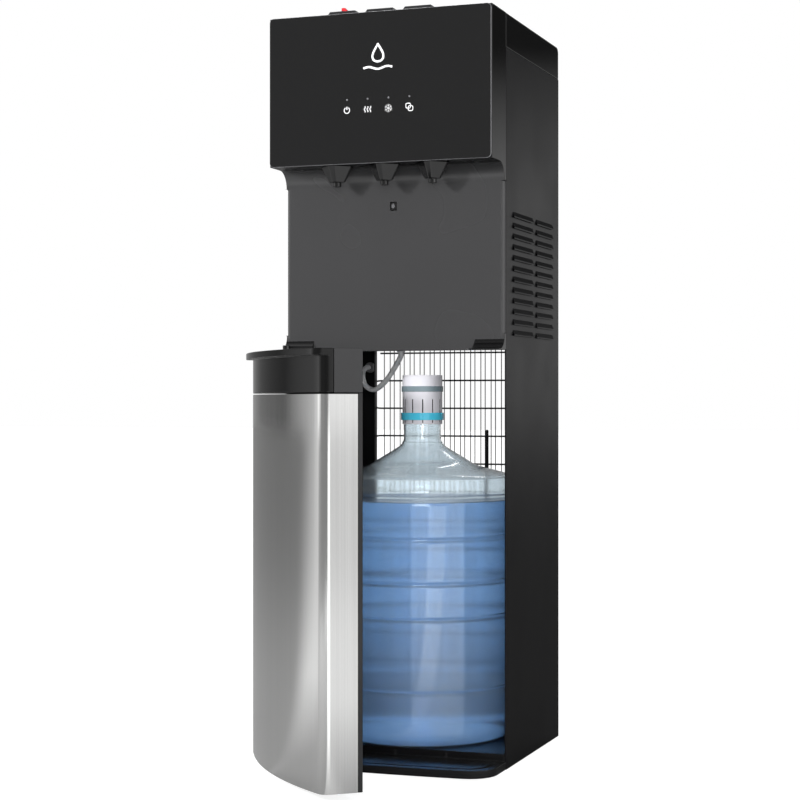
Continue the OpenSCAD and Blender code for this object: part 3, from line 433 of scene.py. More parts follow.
moulded("button_black", (0.016, 0.016, 0.017), 0.18, 0.28, (1400.0, 0.02))
moulded("lock_red", (0.52, 0.022, 0.03), 0.18, 0.28, (900.0, 0.02), coat=0.3)
moulded("switch_green", (0.03, 0.27, 0.08), 0.2, 0.3, (900.0, 0.02))
moulded("print_white", (0.86, 0.86, 0.87), 0.4, 0.5, (900.0, 0.02))
moulded("white_plastic", (0.66, 0.66, 0.69), 0.26, 0.38, (900.0, 0.03))
moulded("cap_white", (0.72, 0.71, 0.76), 0.22, 0.32, (900.0, 0.02))
moulded("cap_cyan", (0.085, 0.62, 0.86), 0.16, 0.26, (900.0, 0.02), coat=0.3)
moulded("cap_grey", (0.20, 0.26, 0.29), 0.2, 0.3, (900.0, 0.02))
moulded("grey_plastic", (0.22, 0.22, 0.225), 0.35, 0.5, (1000.0, 0.04))
moulded("lamp_grey", (0.10, 0.10, 0.105), 0.2, 0.3, (900.0, 0.02))
moulded("frosted_lens", (0.16, 0.16, 0.17), 0.3, 0.4, (900.0, 0.03))
# Black rubber; the cap's slot walls use it too, as a painted shadow.
moulded("rubber_black", (0.012, 0.012, 0.012), 0.6, 0.75, (800.0, 0.12), specular=0.3)
moulded("foam_white", (0.72, 0.72, 0.66), 0.85, 0.95, (260.0, 0.5), specular=0.1)
moulded("mica_brown", (0.22, 0.13, 0.06), 0.5, 0.6, (120.0, 0.3))
moulded("board_green", (0.012, 0.11, 0.035), 0.18, 0.3, (300.0, 0.1), coat=0.4)
moulded("compressor_black", (0.008, 0.008, 0.0085), 0.25, 0.4, (500.0, 0.15))
moulded("magnet_dark", (0.035, 0.035, 0.04), 0.45, 0.55, (700.0, 0.2), metallic=0.6)
brushed("brushed_steel", (0.60, 0.60, 0.595), 0.10, 0.13, 2200.0, 2.0, 0.2, 0.02)
brushed("tank_steel", (0.62, 0.63, 0.64), 0.25, 0.32, 700.0, 30.0, 0.3)
bare_metal("zinc", (0.52, 0.53, 0.54), 0.3, 0.45)
bare_metal("polished_pin", (0.62, 0.62, 0.63), 0.12, 0.22)
bare_metal("copper", (0.72, 0.34, 0.17), 0.22, 0.38)
clear("bottle_tint", (0.86, 0.94, 1.0), 0.12, 0.16, 0.94, 1.22, coat=0.5)
clear("bottle_water", (0.19, 0.39, 0.72), 0.20, 0.24, 0.84, 1.20)
clear("silicone", (0.95, 0.95, 0.96), 0.10, 0.16, 0.1, 1.4)

DOOR_AT = (-0.12, -0.28, 0)


def length_of(tree, vector):
    n = node(tree, "ShaderNodeVectorMath", operation="LENGTH")
    tree.links.new(vector, n.inputs[0])
    return n.outputs["Value"]


def floor_white():
    """A pale floor that fades to dark behind. It looks white to the eye, and glows in bright strips seen only by
    glossy rays: painted reflections, not lamps.
    """
    tree, shader = new_finish("floor_white")
    place = node(tree, "ShaderNodeTexCoord")
    from_door = node(tree, "ShaderNodeVectorMath", operation="SUBTRACT")
    from_door.inputs[1].default_value = DOOR_AT
    tree.links.new(place.outputs["Object"], from_door.inputs[0])
    compass, _ = compass_of(tree, from_door.outputs[0])
    paint = ramp(tree, compass, [
        (0.0, 0.06), (0.05, 0.12), (0.09, 0.34), (0.78, 0.34), (0.84, 0.06), (1.0, 0.06)])
    tree.links.new(paint, shader.inputs["Base Color"])
    shader.inputs["Roughness"].default_value = 0.65
    shader.inputs["Specular IOR Level"].default_value = 0.1
    ray = node(tree, "ShaderNodeLightPath")
    near_fade = math_node(tree, "MULTIPLY", length_of(tree, place.outputs["Object"]), 0.2)
    far = ramp(tree, near_fade, [(0.05, 0.05), (0.2, 0.38), (0.45, 1.0)])
    eye = math_node(tree, "MAXIMUM", ray.outputs["Is Camera Ray"],
                    math_node(tree, "MULTIPLY", ray.outputs["Is Transmission Ray"], far))
    white = ramp(tree, compass, [(0.0, 1.0), (0.06, 1.0), (0.12, 0.86), (0.76, 0.86), (0.82, 1.0), (1.0, 1.0)])
    # Strips that glow only in glossy rays: painted reflections on the door and the bottle.
    painted_reflection_strip = ramp(tree, compass, [
        (0.22, 0.0), (0.245, 0.65), (0.265, 0.65), (0.31, 0.22), (0.42, 0.12), (0.575, 0.12), (0.585, 1.9),
        (0.635, 1.9), (0.645, 0.6), (0.70, 0.7), (0.76, 0.5), (0.82, 0.0)])
    door_fade = math_node(tree, "MULTIPLY", length_of(tree, from_door.outputs[0]), 0.5)
    fade = ramp(tree, door_fade, [(0.1, 0.1), (0.25, 0.45), (0.5, 1.0)])
    painted_reflection_strip = math_node(tree, "MULTIPLY", painted_reflection_strip, fade)
    glow = math_node(tree, "ADD", math_node(tree, "MULTIPLY", eye, white),
                     math_node(tree, "MULTIPLY", ray.outputs["Is Glossy Ray"], painted_reflection_strip))
    tree.links.new(glow, shader.inputs["Emission Strength"])
    shader.inputs["Emission Color"].default_value = (1, 1, 1, 1)


floor_white()
floor_mesh.materials.append(finishes["floor_white"])
print("finishes:", len(finishes))

# %% [markdown]
# ## Soft edges
# Nothing that leaves a mould or a press has a razor edge: every corner has a small radius that catches the
# light. The helper copies a CAD node, joins its loose triangles, rounds the sharp edges with a Bevel
# modifier and evens out the shading with weighted normals.

# %% Write the edge-softening helper
def add_object(name, mesh, body):
    """A piece that moves with a body."""
    piece = placed(name, mesh)
    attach(piece, body)
    return piece


def stand_in(name):
    """Hides a CAD node, whose place a finished piece takes."""
    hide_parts(name)


def mesh_from(shape, name):
    """Turns a bmesh into a mesh and frees it."""
    mesh = bpy.data.meshes.new(name)
    shape.to_mesh(mesh)
    shape.free()
    return mesh


def baked(source, name=None):
    """The mesh of an object with its modifiers applied. The object goes."""
    mesh = bpy.data.meshes.new_from_object(source.evaluated_get(bpy.context.evaluated_depsgraph_get()))
    bpy.data.objects.remove(source)
    if name:
        mesh.name = name
    return mesh


def add_box(shape, low, high):
    """Adds a box to a bmesh, given by its lowest and highest corners."""
    for vertex in bmesh.ops.create_cube(shape, size=1.0)["verts"]:
        vertex.co = Vector([(a + b) / 2 + v * (b - a) for a, b, v in zip(low, high, vertex.co)])


def joined_copy(name):
    """The node's mesh with its triangles joined and flat neighbours merged."""
    mesh = nodes[name].data.copy()
    mesh.name = name + "_finished"
    shape = bmesh.new()
    shape.from_mesh(mesh)
    bmesh.ops.remove_doubles(shape, verts=shape.verts, dist=0.00002)
    bmesh.ops.dissolve_limit(shape, angle_limit=math.radians(0.6), verts=shape.verts, edges=shape.edges)
    shape.to_mesh(mesh)
    shape.free()
    return mesh


def set_smooth(mesh):
    for polygon in mesh.polygons:
        polygon.use_smooth = True


def sharp_by_angle(mesh, degrees):
    """Smooth faces, with creases kept where neighbours meet at more than this angle."""
    shape = bmesh.new()
    shape.from_mesh(mesh)
    for face in shape.faces:
        face.smooth = True
    for edge in shape.edges:
        edge.smooth = len(edge.link_faces) < 2 or edge.calc_face_angle(0) < math.radians(degrees)
    shape.to_mesh(mesh)
    shape.free()


def soften(piece, radius, segments=2, angle=38):
    bevel = piece.modifiers.new("soft edges", "BEVEL")
    bevel.width = radius
    bevel.segments = segments
    bevel.limit_method = "ANGLE"
    bevel.angle_limit = math.radians(angle)
    bevel.use_clamp_overlap = False
    normals = piece.modifiers.new("even shading", "WEIGHTED_NORMAL")
    normals.keep_sharp = True


def finished(name, finish, radius=0.0005, segments=2, angle=38, split=None, crease=30):
    """Replaces a CAD node by its soft-edged copy. split(centre, normal) may choose a finish for a face."""
    mesh = joined_copy(name)
    if radius:
        set_smooth(mesh)
    else:
        sharp_by_angle(mesh, crease)
    mesh.materials.clear()
    mesh.materials.append(finishes[finish])
    if split:
        for polygon in mesh.polygons:
            other = finishes.get(split(polygon.center, polygon.normal))
            if other:
                if other.name not in mesh.materials:
                    mesh.materials.append(other)
                polygon.material_index = mesh.materials.find(other.name)
    piece = add_object(name + "_piece", mesh, body_of_node[name])
    if radius:
        soften(piece, radius, segments, angle)
    stand_in(name)


# %% [markdown]
# ## Cabinet sheet metal and linings
# The two coated sides carry pressed louvres. Inside the bay there are black liners, and a zinc-plated shelf
# closes its top. Folded sheet has tight bends: the sides and the rear cover keep sharp edges, and the liners and
# the zinc parts get 0.4 mm.

# %% Finish the cabinet
for name in ("side_panel_left", "side_panel_right"):
    finished(name, "coated_steel", 0, crease=5)
finished("rear_cover", "coated_steel", 0)
for name in ("bay_liner_left", "bay_liner_right"):
    finished(name, "liner_black", 0.0004)
finished("bay_ceiling", "zinc", 0.0004)
finished("tank_shelf", "zinc", 0.0004)
finished("top_cover", "gloss_black", 0.0016, 3)
finished("base_pan", "base_black", 0.0012, 3)
finished("base_feet", "rubber_black", 0.001)
print("cabinet pieces:", 10)

# %% [markdown]
# ## Head and alcove
# One moulding holds both the shell of the head and the satin wall behind the spouts. The corner lugs over
# the door are polished black. Faces choose their finish by where they are, as the mould's texture does.

# %% Finish the front moulding
fascia_low, fascia_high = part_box("front_fascia")
lamp_low, lamp_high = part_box("night_light_lens")
panel_low, panel_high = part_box("display_panel")
HEAD_Z = panel_low.z
ALCOVE_DEPTH, LUG_HEIGHT, LUG_WIDTH, FILLET = 0.007, 0.0231, 0.0432, 0.024
ALCOVE_Y = fascia_high.y - ALCOVE_DEPTH
LUG_TOP = fascia_low.z + LUG_HEIGHT
LUG_INNER = fascia_high.x - LUG_WIDTH


def fascia_finish(centre, normal):
    if centre.z < LUG_TOP and abs(centre.x) > LUG_INNER and centre.y < ALCOVE_Y - 0.0002:
        return "gloss_black"
    if centre.z > HEAD_Z + 0.0005 or abs(normal.x) > 0.9 and centre.y < ALCOVE_Y - 0.004:
        return "head_satin"
    if centre.z > HEAD_Z - FILLET and normal.z < -0.97:
        return "gloss_black"
    return None


# The panel's edge faces get a lighter grey, a painted highlight; its front stays gloss black.
def panel_highlight_finish(centre, normal):
    return None if normal.y < -0.5 else "panel_edge_highlight"


finished("front_fascia", "alcove_satin", 0.0008, 3, split=fascia_finish)
finished("display_panel", "display_gloss", 0.0011, 3, split=panel_highlight_finish)
finished("indicator_lenses", "frosted_lens", 0.0002)
finished("night_light_lens", "gloss_black", 0.0008, 3)


def window_mesh(name, low, high, radius):
    """A small plate with round corners and edges, given by its lowest and highest corners."""
    shape = bmesh.new()
    add_box(shape, low, high)
    upright = [e for e in shape.edges if abs((e.verts[0].co - e.verts[1].co).normalized().y) > 0.9]
    bmesh.ops.bevel(shape, geom=upright, offset=radius, segments=4, affect="EDGES")
    front = [e for e in shape.edges if all(v.co.y < low[1] + 1e-5 for v in e.verts)]
    bmesh.ops.bevel(shape, geom=front, offset=radius * 0.3, segments=2, affect="EDGES")
    mesh = mesh_from(shape, name)
    sharp_by_angle(mesh, 40)
    return mesh


window = window_mesh("night_light_window", (-0.0026, lamp_low.y - 0.0004, lamp_low.z + 0.0026),
                     (0.0021, lamp_low.y + 0.0008, lamp_high.z - 0.0022), 0.0011)
window.materials.append(finishes["lamp_grey"])
window_piece = add_object("night_light_window", window, "cabinet")
for name in ("spout_hot", "spout_room", "spout_cold"):
    finished(name, "spout_black", 0.0008, 3, 24)
for name in ("button_hot", "button_room", "button_cold"):
    finished(name, "button_black", 0.0004, 3)
finished("child_lock", "lock_red", 0.0007, 3)
print("head between", round(HEAD_Z, 3), "and", round(panel_high.z, 3))

# %% [markdown]
# ## Printed symbols
# Small white symbols sit under the status lamps: power, heating, cooling and bottle change. They are drawn
# as strokes along curves and pressed almost flat, like thick screen print. Above them is a plain drop over
# a wave, which stands for water and is nobody's mark.

# %% Draw the symbols
PRINT_Y = panel_low.y - 0.00012
PRINT_FLAT = 0.22


def round_line(name, lines, radius, resolution):
    """A curve with a round section along each line. lines hold (points, closed)."""
    data = bpy.data.curves.new(name, "CURVE")
    data.dimensions = "3D"
    data.bevel_depth = radius
    data.bevel_resolution = resolution
    data.use_fill_caps = True
    for points, closed in lines:
        spline = data.splines.new("POLY")
        spline.points.add(len(points) - 1)
        for target, place in zip(spline.points, points):
            target.co = (*place, 1)
        spline.use_cyclic_u = closed
    return data


def strokes(name, lines, width, x, z):
    """Flat printed strokes of the given width. lines hold (points, closed) in metres, round x and z."""
    lines = [([(x + px, 0, z + pz) for px, pz in points], closed) for points, closed in lines]
    mesh = baked(placed(name + "_line", round_line(name, lines, width / 2, 2)), name)
    for vertex in mesh.vertices:
        vertex.co.y = PRINT_Y + vertex.co.y * PRINT_FLAT
    set_smooth(mesh)
    mesh.materials.clear()
    mesh.materials.append(finishes["print_white"])
    add_object(name, mesh, "cabinet")


def circle_points(radius, start=0.0, stop=360.0, steps=28, centre=(0, 0)):
    """Points along an arc, its ends given in degrees."""
    turns = [math.radians(start + (stop - start) * i / steps) for i in range(steps + 1)]
    return [(centre[0] + radius * math.cos(t), centre[1] + radius * math.sin(t)) for t in turns]


def wave_points(x, low, high, swing, waves, steps=24, upright=True):
    result = []
    for i in range(steps + 1):
        t = i / steps
        along, across = low + (high - low) * t, swing * math.sin(2 * math.pi * waves * t)
        result.append((x + across, along) if upright else (along, x + across))
    return result


def rounded_square(size, corner, centre):
    result = []
    for k, (sx, sz) in enumerate(((1, 1), (-1, 1), (-1, -1), (1, -1))):
        middle = (centre[0] + sx * (size / 2 - corner), centre[1] + sz * (size / 2 - corner))
        result += circle_points(corner, 90 * k, 90 * k + 90, 5, middle)
    return result


def snow_lines(reach):
    lines = []
    for k in range(6):
        turn = math.radians(60 * k + 30)
        along = (math.cos(turn), math.sin(turn))
        lines.append(([(0, 0), (along[0] * reach, along[1] * reach)], False))
        root = (along[0] * reach * 0.58, along[1] * reach * 0.58)
        for side in (-1, 1):
            tip = turn + side * math.radians(23)
            lines.append(([root, (math.cos(tip) * reach * 0.92, math.sin(tip) * reach * 0.92)], False))
    return lines


def drop_points(width, height, steps=44):
    """A closed drop with its tip up."""
    result = []
    for i in range(steps):
        t = 2 * math.pi * i / steps
        result.append((0.62 * width * math.sin(t) * math.sin(t / 2) ** 1.4, height / 2 * math.cos(t)))
    return result


lens_low, lens_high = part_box("indicator_lenses")
SYMBOL_PITCH = (lens_high.x - lens_low.x - 0.0025) / 3
SYMBOL_X = [(i - 1.5) * SYMBOL_PITCH for i in range(4)]
SYMBOL_Z = (lens_low.z + lens_high.z) / 2 - 0.0145
STROKE = 0.00115
strokes("symbol_power", [(circle_points(0.0040, 122, 418), False), ([(0, 0.0006), (0, 0.0052)], False)],
        STROKE, SYMBOL_X[0], SYMBOL_Z)
strokes("symbol_heat", [(wave_points(x, -0.0040, 0.0040, 0.0009, 1.5), False) for x in (-0.0040, 0, 0.0040)],
        STROKE * 0.95, SYMBOL_X[1], SYMBOL_Z)
strokes("symbol_cold", snow_lines(0.0056), STROKE * 0.42, SYMBOL_X[2], SYMBOL_Z)
strokes("symbol_bottle", [(rounded_square(0.0066, 0.0018, (-0.0016, 0.0018)), True),
                          (rounded_square(0.0066, 0.0018, (0.0018, -0.0018)), True)],
        STROKE * 0.9, SYMBOL_X[3], SYMBOL_Z)
EMBLEM_Z = SYMBOL_Z + 0.0705
strokes("emblem_drop", [(drop_points(0.018, 0.024), True)], 0.0030, 0, EMBLEM_Z + 0.006)
strokes("emblem_wave", [(wave_points(0, -0.021, 0.021, 0.0016, 1.5, 40, False), False)], 0.0030, 0,
        EMBLEM_Z - 0.0145)
print("symbols at", [round(x, 4) for x in SYMBOL_X], "height", round(SYMBOL_Z, 4))

# %% [markdown]
# ## Door
# The bowed skin is brushed along its height, so its highlights spread sideways. Behind it sits the black
# liner, and the drip tray closes the top of the door.

# %% Finish the door
def band_finish(centre, normal):
    return "band_satin" if normal.z > 0.9 else None


finished("door_skin", "brushed_steel", 0.0004, 2, 50)
finished("door_liner", "liner_black", 0.0010, 3)
finished("door_band", "band_satin", 0.0008, 3)
finished("door_magnet", "magnet_dark", 0.0005)
finished("drip_tray", "band_gloss", 0.0012, 3, split=band_finish)
print("door pieces:", 5)

# %% [markdown]
# ## Repeating pieces
# Wires, screws, ribs and slats are one small shape many times over. A Geometry Nodes tree repeats whatever
# mesh its object holds along a step, with an optional zigzag for every second copy. A second tree sets
# copies round a circle. Both bake to plain meshes at once.

# %% Build the two repeating trees
def geometry_tree(name, inputs):
    tree = bpy.data.node_groups.new(name, "GeometryNodeTree")
    tree.interface.new_socket("Geometry", in_out="INPUT", socket_type="NodeSocketGeometry")
    for label, kind, default in inputs:
        socket = tree.interface.new_socket(label, in_out="INPUT", socket_type=kind)
        if default is not None:
            socket.default_value = default
    tree.interface.new_socket("Geometry", in_out="OUTPUT", socket_type="NodeSocketGeometry")
    return tree, node(tree, "NodeGroupInput", (-800, 0)), node(tree, "NodeGroupOutput", (800, 0))


def copy_onto(tree, into, out, points, rotation=None):
    """Copies the tree's own mesh onto points, as real painted geometry."""
    copies = node(tree, "GeometryNodeInstanceOnPoints")
    tree.links.new(points, copies.inputs["Points"])
    tree.links.new(into.outputs["Geometry"], copies.inputs["Instance"])
    if rotation:
        tree.links.new(rotation, copies.inputs["Rotation"])
    real = node(tree, "GeometryNodeRealizeInstances")
    paint = node(tree, "GeometryNodeSetMaterial")
    tree.links.new(copies.outputs["Instances"], real.inputs["Geometry"])
    tree.links.new(real.outputs["Geometry"], paint.inputs["Geometry"])
    tree.links.new(into.outputs["Material"], paint.inputs["Material"])
    tree.links.new(paint.outputs["Geometry"], out.inputs["Geometry"])


def row_tree():
    """Copies along a line. Every second copy is also moved by Zigzag."""
    tree, into, out = geometry_tree("row of copies", [
        ("Count", "NodeSocketInt", 2), ("Start", "NodeSocketVector", None), ("Step", "NodeSocketVector", None),
        ("Zigzag", "NodeSocketVector", None), ("Material", "NodeSocketMaterial", None)])
    line = node(tree, "GeometryNodeMeshLine", mode="OFFSET")
    tree.links.new(into.outputs["Count"], line.inputs["Count"])
    tree.links.new(into.outputs["Start"], line.inputs["Start Location"])
    tree.links.new(into.outputs["Step"], line.inputs["Offset"])
    index = node(tree, "GeometryNodeInputIndex")
    odd = math_node(tree, "MODULO", index.outputs[0], 2.0)
    shift = node(tree, "ShaderNodeVectorMath", operation="SCALE")
    tree.links.new(into.outputs["Zigzag"], shift.inputs[0])
    tree.links.new(odd, shift.inputs["Scale"])
    move = node(tree, "GeometryNodeSetPosition")
    tree.links.new(line.outputs["Mesh"], move.inputs["Geometry"])
    tree.links.new(shift.outputs[0], move.inputs["Offset"])
    copy_onto(tree, into, out, move.outputs["Geometry"])
    return tree


def ring_tree():
    """Copies round the Y axis through Centre, each turned with its place. The mesh sits at its radius."""
    tree, into, out = geometry_tree("ring of copies", [
        ("Count", "NodeSocketInt", 12), ("Centre", "NodeSocketVector", None),
        ("Material", "NodeSocketMaterial", None)])
    line = node(tree, "GeometryNodeMeshLine", mode="OFFSET")
    line.inputs["Offset"].default_value = (0, 0, 0)
    tree.links.new(into.outputs["Count"], line.inputs["Count"])
    tree.links.new(into.outputs["Centre"], line.inputs["Start Location"])
    index = node(tree, "GeometryNodeInputIndex")
    share = math_node(tree, "DIVIDE", index.outputs[0], into.outputs["Count"])
    turn = node(tree, "ShaderNodeCombineXYZ")
    tree.links.new(math_node(tree, "MULTIPLY", share, 2 * math.pi), turn.inputs["Y"])
    copy_onto(tree, into, out, line.outputs["Mesh"], turn.outputs[0])
    return tree


ROW, RING = row_tree(), ring_tree()


def repeated(name, seed, tree, body, finish, **values):
    """Runs a repeating tree on a small mesh and keeps the result as a plain mesh."""
    source = placed(name + "_seed", seed)
    run = source.modifiers.new("repeat", "NODES")
    run.node_group = tree
    named = {s.name: s.identifier for s in tree.interface.items_tree if s.in_out == "INPUT"}
    for label, value in values.items():
        run[named[label]] = value
    run[named["Material"]] = finishes[finish]
    return add_object(name, baked(source, name), body)


def lathe_mesh(name, profile, steps=48, axis="Z", centre=(0, 0, 0)):
    """Turns a profile of (radius, height) points. It starts and ends on the axis, so the solid is closed."""
    shape = bmesh.new()
    rings = []
    for radius, height in profile:
        count = 1 if radius < 1e-7 else steps
        ring = []
        for k in range(count):
            a = 2 * math.pi * k / steps
            x, y = radius * math.cos(a), radius * math.sin(a)
            place = Vector((x, y, height)) if axis == "Z" else Vector((x, height, -y))
            ring.append(shape.verts.new(place + Vector(centre)))
        rings.append(ring)
    for low, high in zip(rings, rings[1:]):
        for k in range(steps):
            corners = []
            for ring, i in ((low, k), (low, k + 1), (high, k + 1), (high, k)):
                vertex = ring[i % len(ring)]
                if vertex not in corners:
                    corners.append(vertex)
            if len(corners) > 2:
                shape.faces.new(corners)
    bmesh.ops.recalc_face_normals(shape, faces=shape.faces)
    return mesh_from(shape, name)


print("trees:", ROW.name, "and", RING.name)

# %% [markdown]
# ## Condenser
# The serpentine tube at the back sheds heat through thin wires welded across it, in front and behind in
# turn. Twenty-nine wires are one wire repeated with a zigzag.

# %% Weld the condenser's wires
wire_low, wire_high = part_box("condenser_wires")
WIRE_R = 0.0007
WIRE_PITCH = 0.0082
WIRES = round((wire_high.x - wire_low.x - 2 * WIRE_R) / WIRE_PITCH) + 1
wire_profile = [(0, wire_low.z), (WIRE_R * 0.7, wire_low.z), (WIRE_R, wire_low.z + 0.0004),
                (WIRE_R, wire_high.z - 0.0004), (WIRE_R * 0.7, wire_high.z), (0, wire_high.z)]
wire_seed = lathe_mesh("wire", wire_profile, 10)
sharp_by_angle(wire_seed, 60)
wires = repeated("condenser_wire_rows", wire_seed, ROW, "cabinet", "condenser_black", Count=WIRES,
                 Start=(wire_low.x + WIRE_R, wire_low.y + WIRE_R, 0), Step=(WIRE_PITCH, 0, 0),
                 Zigzag=(0, wire_high.y - wire_low.y - 2 * WIRE_R, 0))
stand_in("condenser_wires")
finished("condenser_tube", "condenser_black", 0)
finished("condenser_brackets", "coated_steel", 0.0008)
print("condenser:", WIRES, "wires")

# %% [markdown]
# ## Screws
# Eight pan-head screws hold the rear cover. The head is turned from a rounded profile and its cross recess
# is cut with a Boolean, then each column of four is one screw repeated.

# %% Turn and repeat the screws
screw_low, screw_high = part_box("cover_screws")
cover_low, cover_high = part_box("rear_cover")
HEAD_R, HEAD_H, SHANK_R = 0.0038, 0.0018, 0.0017
CROSS_L, CROSS_W, CROSS_D = 0.0018, 0.00035, 0.0012


def screw_mesh():
    """A pan head at the origin with its shank towards -Y."""
    dome = [(HEAD_R * math.cos(math.radians(a)), HEAD_H * (0.45 + 0.55 * math.sin(math.radians(a))))
            for a in range(0, 91, 15)]
    tip = screw_low.y - cover_high.y
    profile = [(0, tip), (SHANK_R, tip), (SHANK_R, 0), (HEAD_R, 0)] + dome
    profile[-1] = (0, HEAD_H)
    head = placed("screw", lathe_mesh("screw", profile, 24, "Y"))
    shape = bmesh.new()
    for x, z in ((CROSS_L, CROSS_W), (CROSS_W, CROSS_L)):
        add_box(shape, (-x, HEAD_H - CROSS_D, -z), (x, HEAD_H + CROSS_D, z))
    cutter = placed("cross", mesh_from(shape, "cross"))
    cut = head.modifiers.new("recess", "BOOLEAN")
    cut.object = cutter
    cut.use_self = True
    mesh = baked(head)
    bpy.data.objects.remove(cutter)
    sharp_by_angle(mesh, 35)
    return mesh


screw_x = screw_high.x - HEAD_R
screw_z0, screw_z1 = screw_low.z + HEAD_R, screw_high.z - HEAD_R
for side, label in ((-1, "left"), (1, "right")):
    column = repeated("cover_screws_" + label, screw_mesh(), ROW, "cabinet", "zinc", Count=4,
                      Start=(side * screw_x, cover_high.y, screw_z0), Step=(0, 0, (screw_z1 - screw_z0) / 3))
    stand_in("cover_screws")
print("screws: 2 columns of 4")

# %% [markdown]
# ## Back of the cabinet
# The rear carries three rocker switches on a black plate, a cord gland and the drain's ribbed cap. The ribs
# are one small bar set round a circle.

# %% Finish the switches, the gland and the drain
finished("switch_plate", "liner_black", 0.0005)
finished("cord_gland", "rubber_black", 0.0007, 3)
ROCKERS = {"rocker_heat": "lock_red", "rocker_cool": "switch_green", "rocker_light": "button_black"}
for name, finish in ROCKERS.items():
    finished(name, finish, 0.0006, 3)

drain_low, drain_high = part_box("drain_cap")
drain_centre = (drain_low + drain_high) / 2
DRAIN_R = (drain_high.x - drain_low.x) / 2
DRAIN_H = drain_high.y - drain_low.y
drain_profile = [(0, 0), (DRAIN_R - 0.0018, 0), (DRAIN_R - 0.0008, 0.0006), (DRAIN_R - 0.0008, DRAIN_H - 0.0016),
                 (DRAIN_R - 0.0022, DRAIN_H - 0.0002), (DRAIN_R - 0.004, DRAIN_H),
                 (DRAIN_R - 0.0050, DRAIN_H - 0.0007), (0, DRAIN_H - 0.0007)]
drain = lathe_mesh("drain_cap_body", drain_profile, 48, "Y", (drain_centre.x, drain_low.y, drain_centre.z))
sharp_by_angle(drain, 40)
drain.materials.append(finishes["grey_plastic"])
drain_body = add_object("drain_cap_body", drain, "drain_cap")
stand_in("drain_cap")


def rib_mesh(radius, reach, width, low, high):
    """A rounded grip rib standing on a cylinder about the Y axis."""
    shape = bmesh.new()
    add_box(shape, (radius - reach, low, -width / 2), (radius + reach, high, width / 2))
    bmesh.ops.bevel(shape, geom=list(shape.edges), offset=min(width, reach) * 0.45, segments=2, affect="EDGES")
    mesh = mesh_from(shape, "rib")
    set_smooth(mesh)
    return mesh


ribs = repeated("drain_cap_ribs", rib_mesh(DRAIN_R - 0.0009, 0.0007, 0.0013, 0.0008, DRAIN_H - 0.0014), RING,
                "drain_cap", "grey_plastic", Count=24, Centre=(drain_centre.x, drain_low.y, drain_centre.z))
print("drain cap radius", round(DRAIN_R * 1000, 1), "mm with 24 ribs")

# %% [markdown]
# ## Grille, hinge and catch
# The grille's slats keep the CAD slots, with each edge rounded so that water runs off. Pins and the catch
# plate are plain metal parts.

# %% Finish the grille and the small metal parts
finished("drip_grille", "grille_black", 0.0006, 2)
finished("hinge_pin_top", "polished_pin", 0.0004)
finished("hinge_pin_bottom", "polished_pin", 0.0004)
finished("door_catch", "zinc", 0.0003)
print("grille and three metal parts")

# %% [markdown]
# ## Bottle
# The bottle is blown from tinted polycarbonate, so it has no sharp line anywhere. Its profile is a list of
# radius and height points: a turned-in foot, straight sides with shallow rings, a shoulder and a neck. The
# inner wall is the same profile moved in by the wall's thickness.

# %% Turn the bottle and its water
bottle_low, bottle_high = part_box("water_bottle")
BOTTLE_X = (bottle_low.x + bottle_high.x) / 2
BOTTLE_Y = (bottle_low.y + bottle_high.y) / 2
BOTTLE_R = (bottle_high.x - bottle_low.x) / 2
FOOT_Z = bottle_low.z
WALL = 0.002
RINGS = (0.077, 0.179, 0.228, 0.290)
RING_DEPTH, RING_HALF = 0.0026, 0.0040
SHOULDER = 0.350
NECK_R = 0.027


def smooth_points(points, steps=6):
    """A Catmull-Rom curve through the points."""
    result = []
    for i in range(len(points) - 1):
        a, b, c, d = (Vector(points[max(0, min(len(points) - 1, i + k))]) for k in (-1, 0, 1, 2))
        for s in range(steps):
            t = s / steps
            result.append(tuple(0.5 * ((2 * b) + (c - a) * t + (2 * a - 5 * b + 4 * c - d) * t * t
                                       + (3 * b - a - 3 * c + d) * t ** 3)))
    return result + [tuple(points[-1])]


def bottle_outline(top):
    foot = 0.018
    r = BOTTLE_R
    line = smooth_points([(0, 0.006), (r - 0.06, 0.006), (r - 0.042, 0.0055), (r - 0.034, 0.0015),
                          (r - 0.026, 0)], 4)
    line += circle_points(foot, -90, 0, 8, (r - foot, foot))
    z = foot + 0.004
    while z < SHOULDER - 0.012:
        depth = 0.0
        for ring in RINGS:
            away = abs(z - ring) / RING_HALF
            if away < 1:
                depth = RING_DEPTH * math.cos(away * math.pi / 2) ** 2
        line.append((r - depth, z))
        z += 0.0010
    for k in range(9):
        t = k / 8
        line.append((r - 0.0028 * math.sin(math.pi * t) ** 2, SHOULDER - 0.009 + 0.011 * t))
    line += smooth_points([(r, SHOULDER + 0.008), (r - 0.0035, SHOULDER + 0.020), (r - 0.0105, SHOULDER + 0.0278),
                           (r - 0.054, SHOULDER + 0.040), (r - 0.074, SHOULDER + 0.051),
                           (NECK_R + 0.008, SHOULDER + 0.067), (NECK_R + 0.002, SHOULDER + 0.074),
                           (NECK_R, SHOULDER + 0.084), (NECK_R, top)], 5)
    return line


def moved_in(line, distance):
    """The line moved towards the axis side, along its normals."""
    result = []
    for i, point in enumerate(line):
        before, after = Vector(line[max(0, i - 1)]), Vector(line[min(len(line) - 1, i + 1)])
        along = (after - before).normalized()
        normal = Vector((along.y, -along.x))
        moved = Vector(point) - normal * distance
        result.append((max(moved.x, 0.0), moved.y))
    result[0] = (0.0, line[0][1] + distance)
    return result


outside = bottle_outline(bottle_high.z - FOOT_Z)
inside = moved_in(outside, WALL)
inside[-1] = (inside[-1][0], outside[-1][1])
bottle_mesh = lathe_mesh("bottle_shell", outside + inside[::-1], 96, "Z", (BOTTLE_X, BOTTLE_Y, FOOT_Z))
set_smooth(bottle_mesh)
bottle_mesh.materials.append(finishes["bottle_tint"])
bottle = add_object("bottle_shell", bottle_mesh, "bottle")
stand_in("water_bottle")

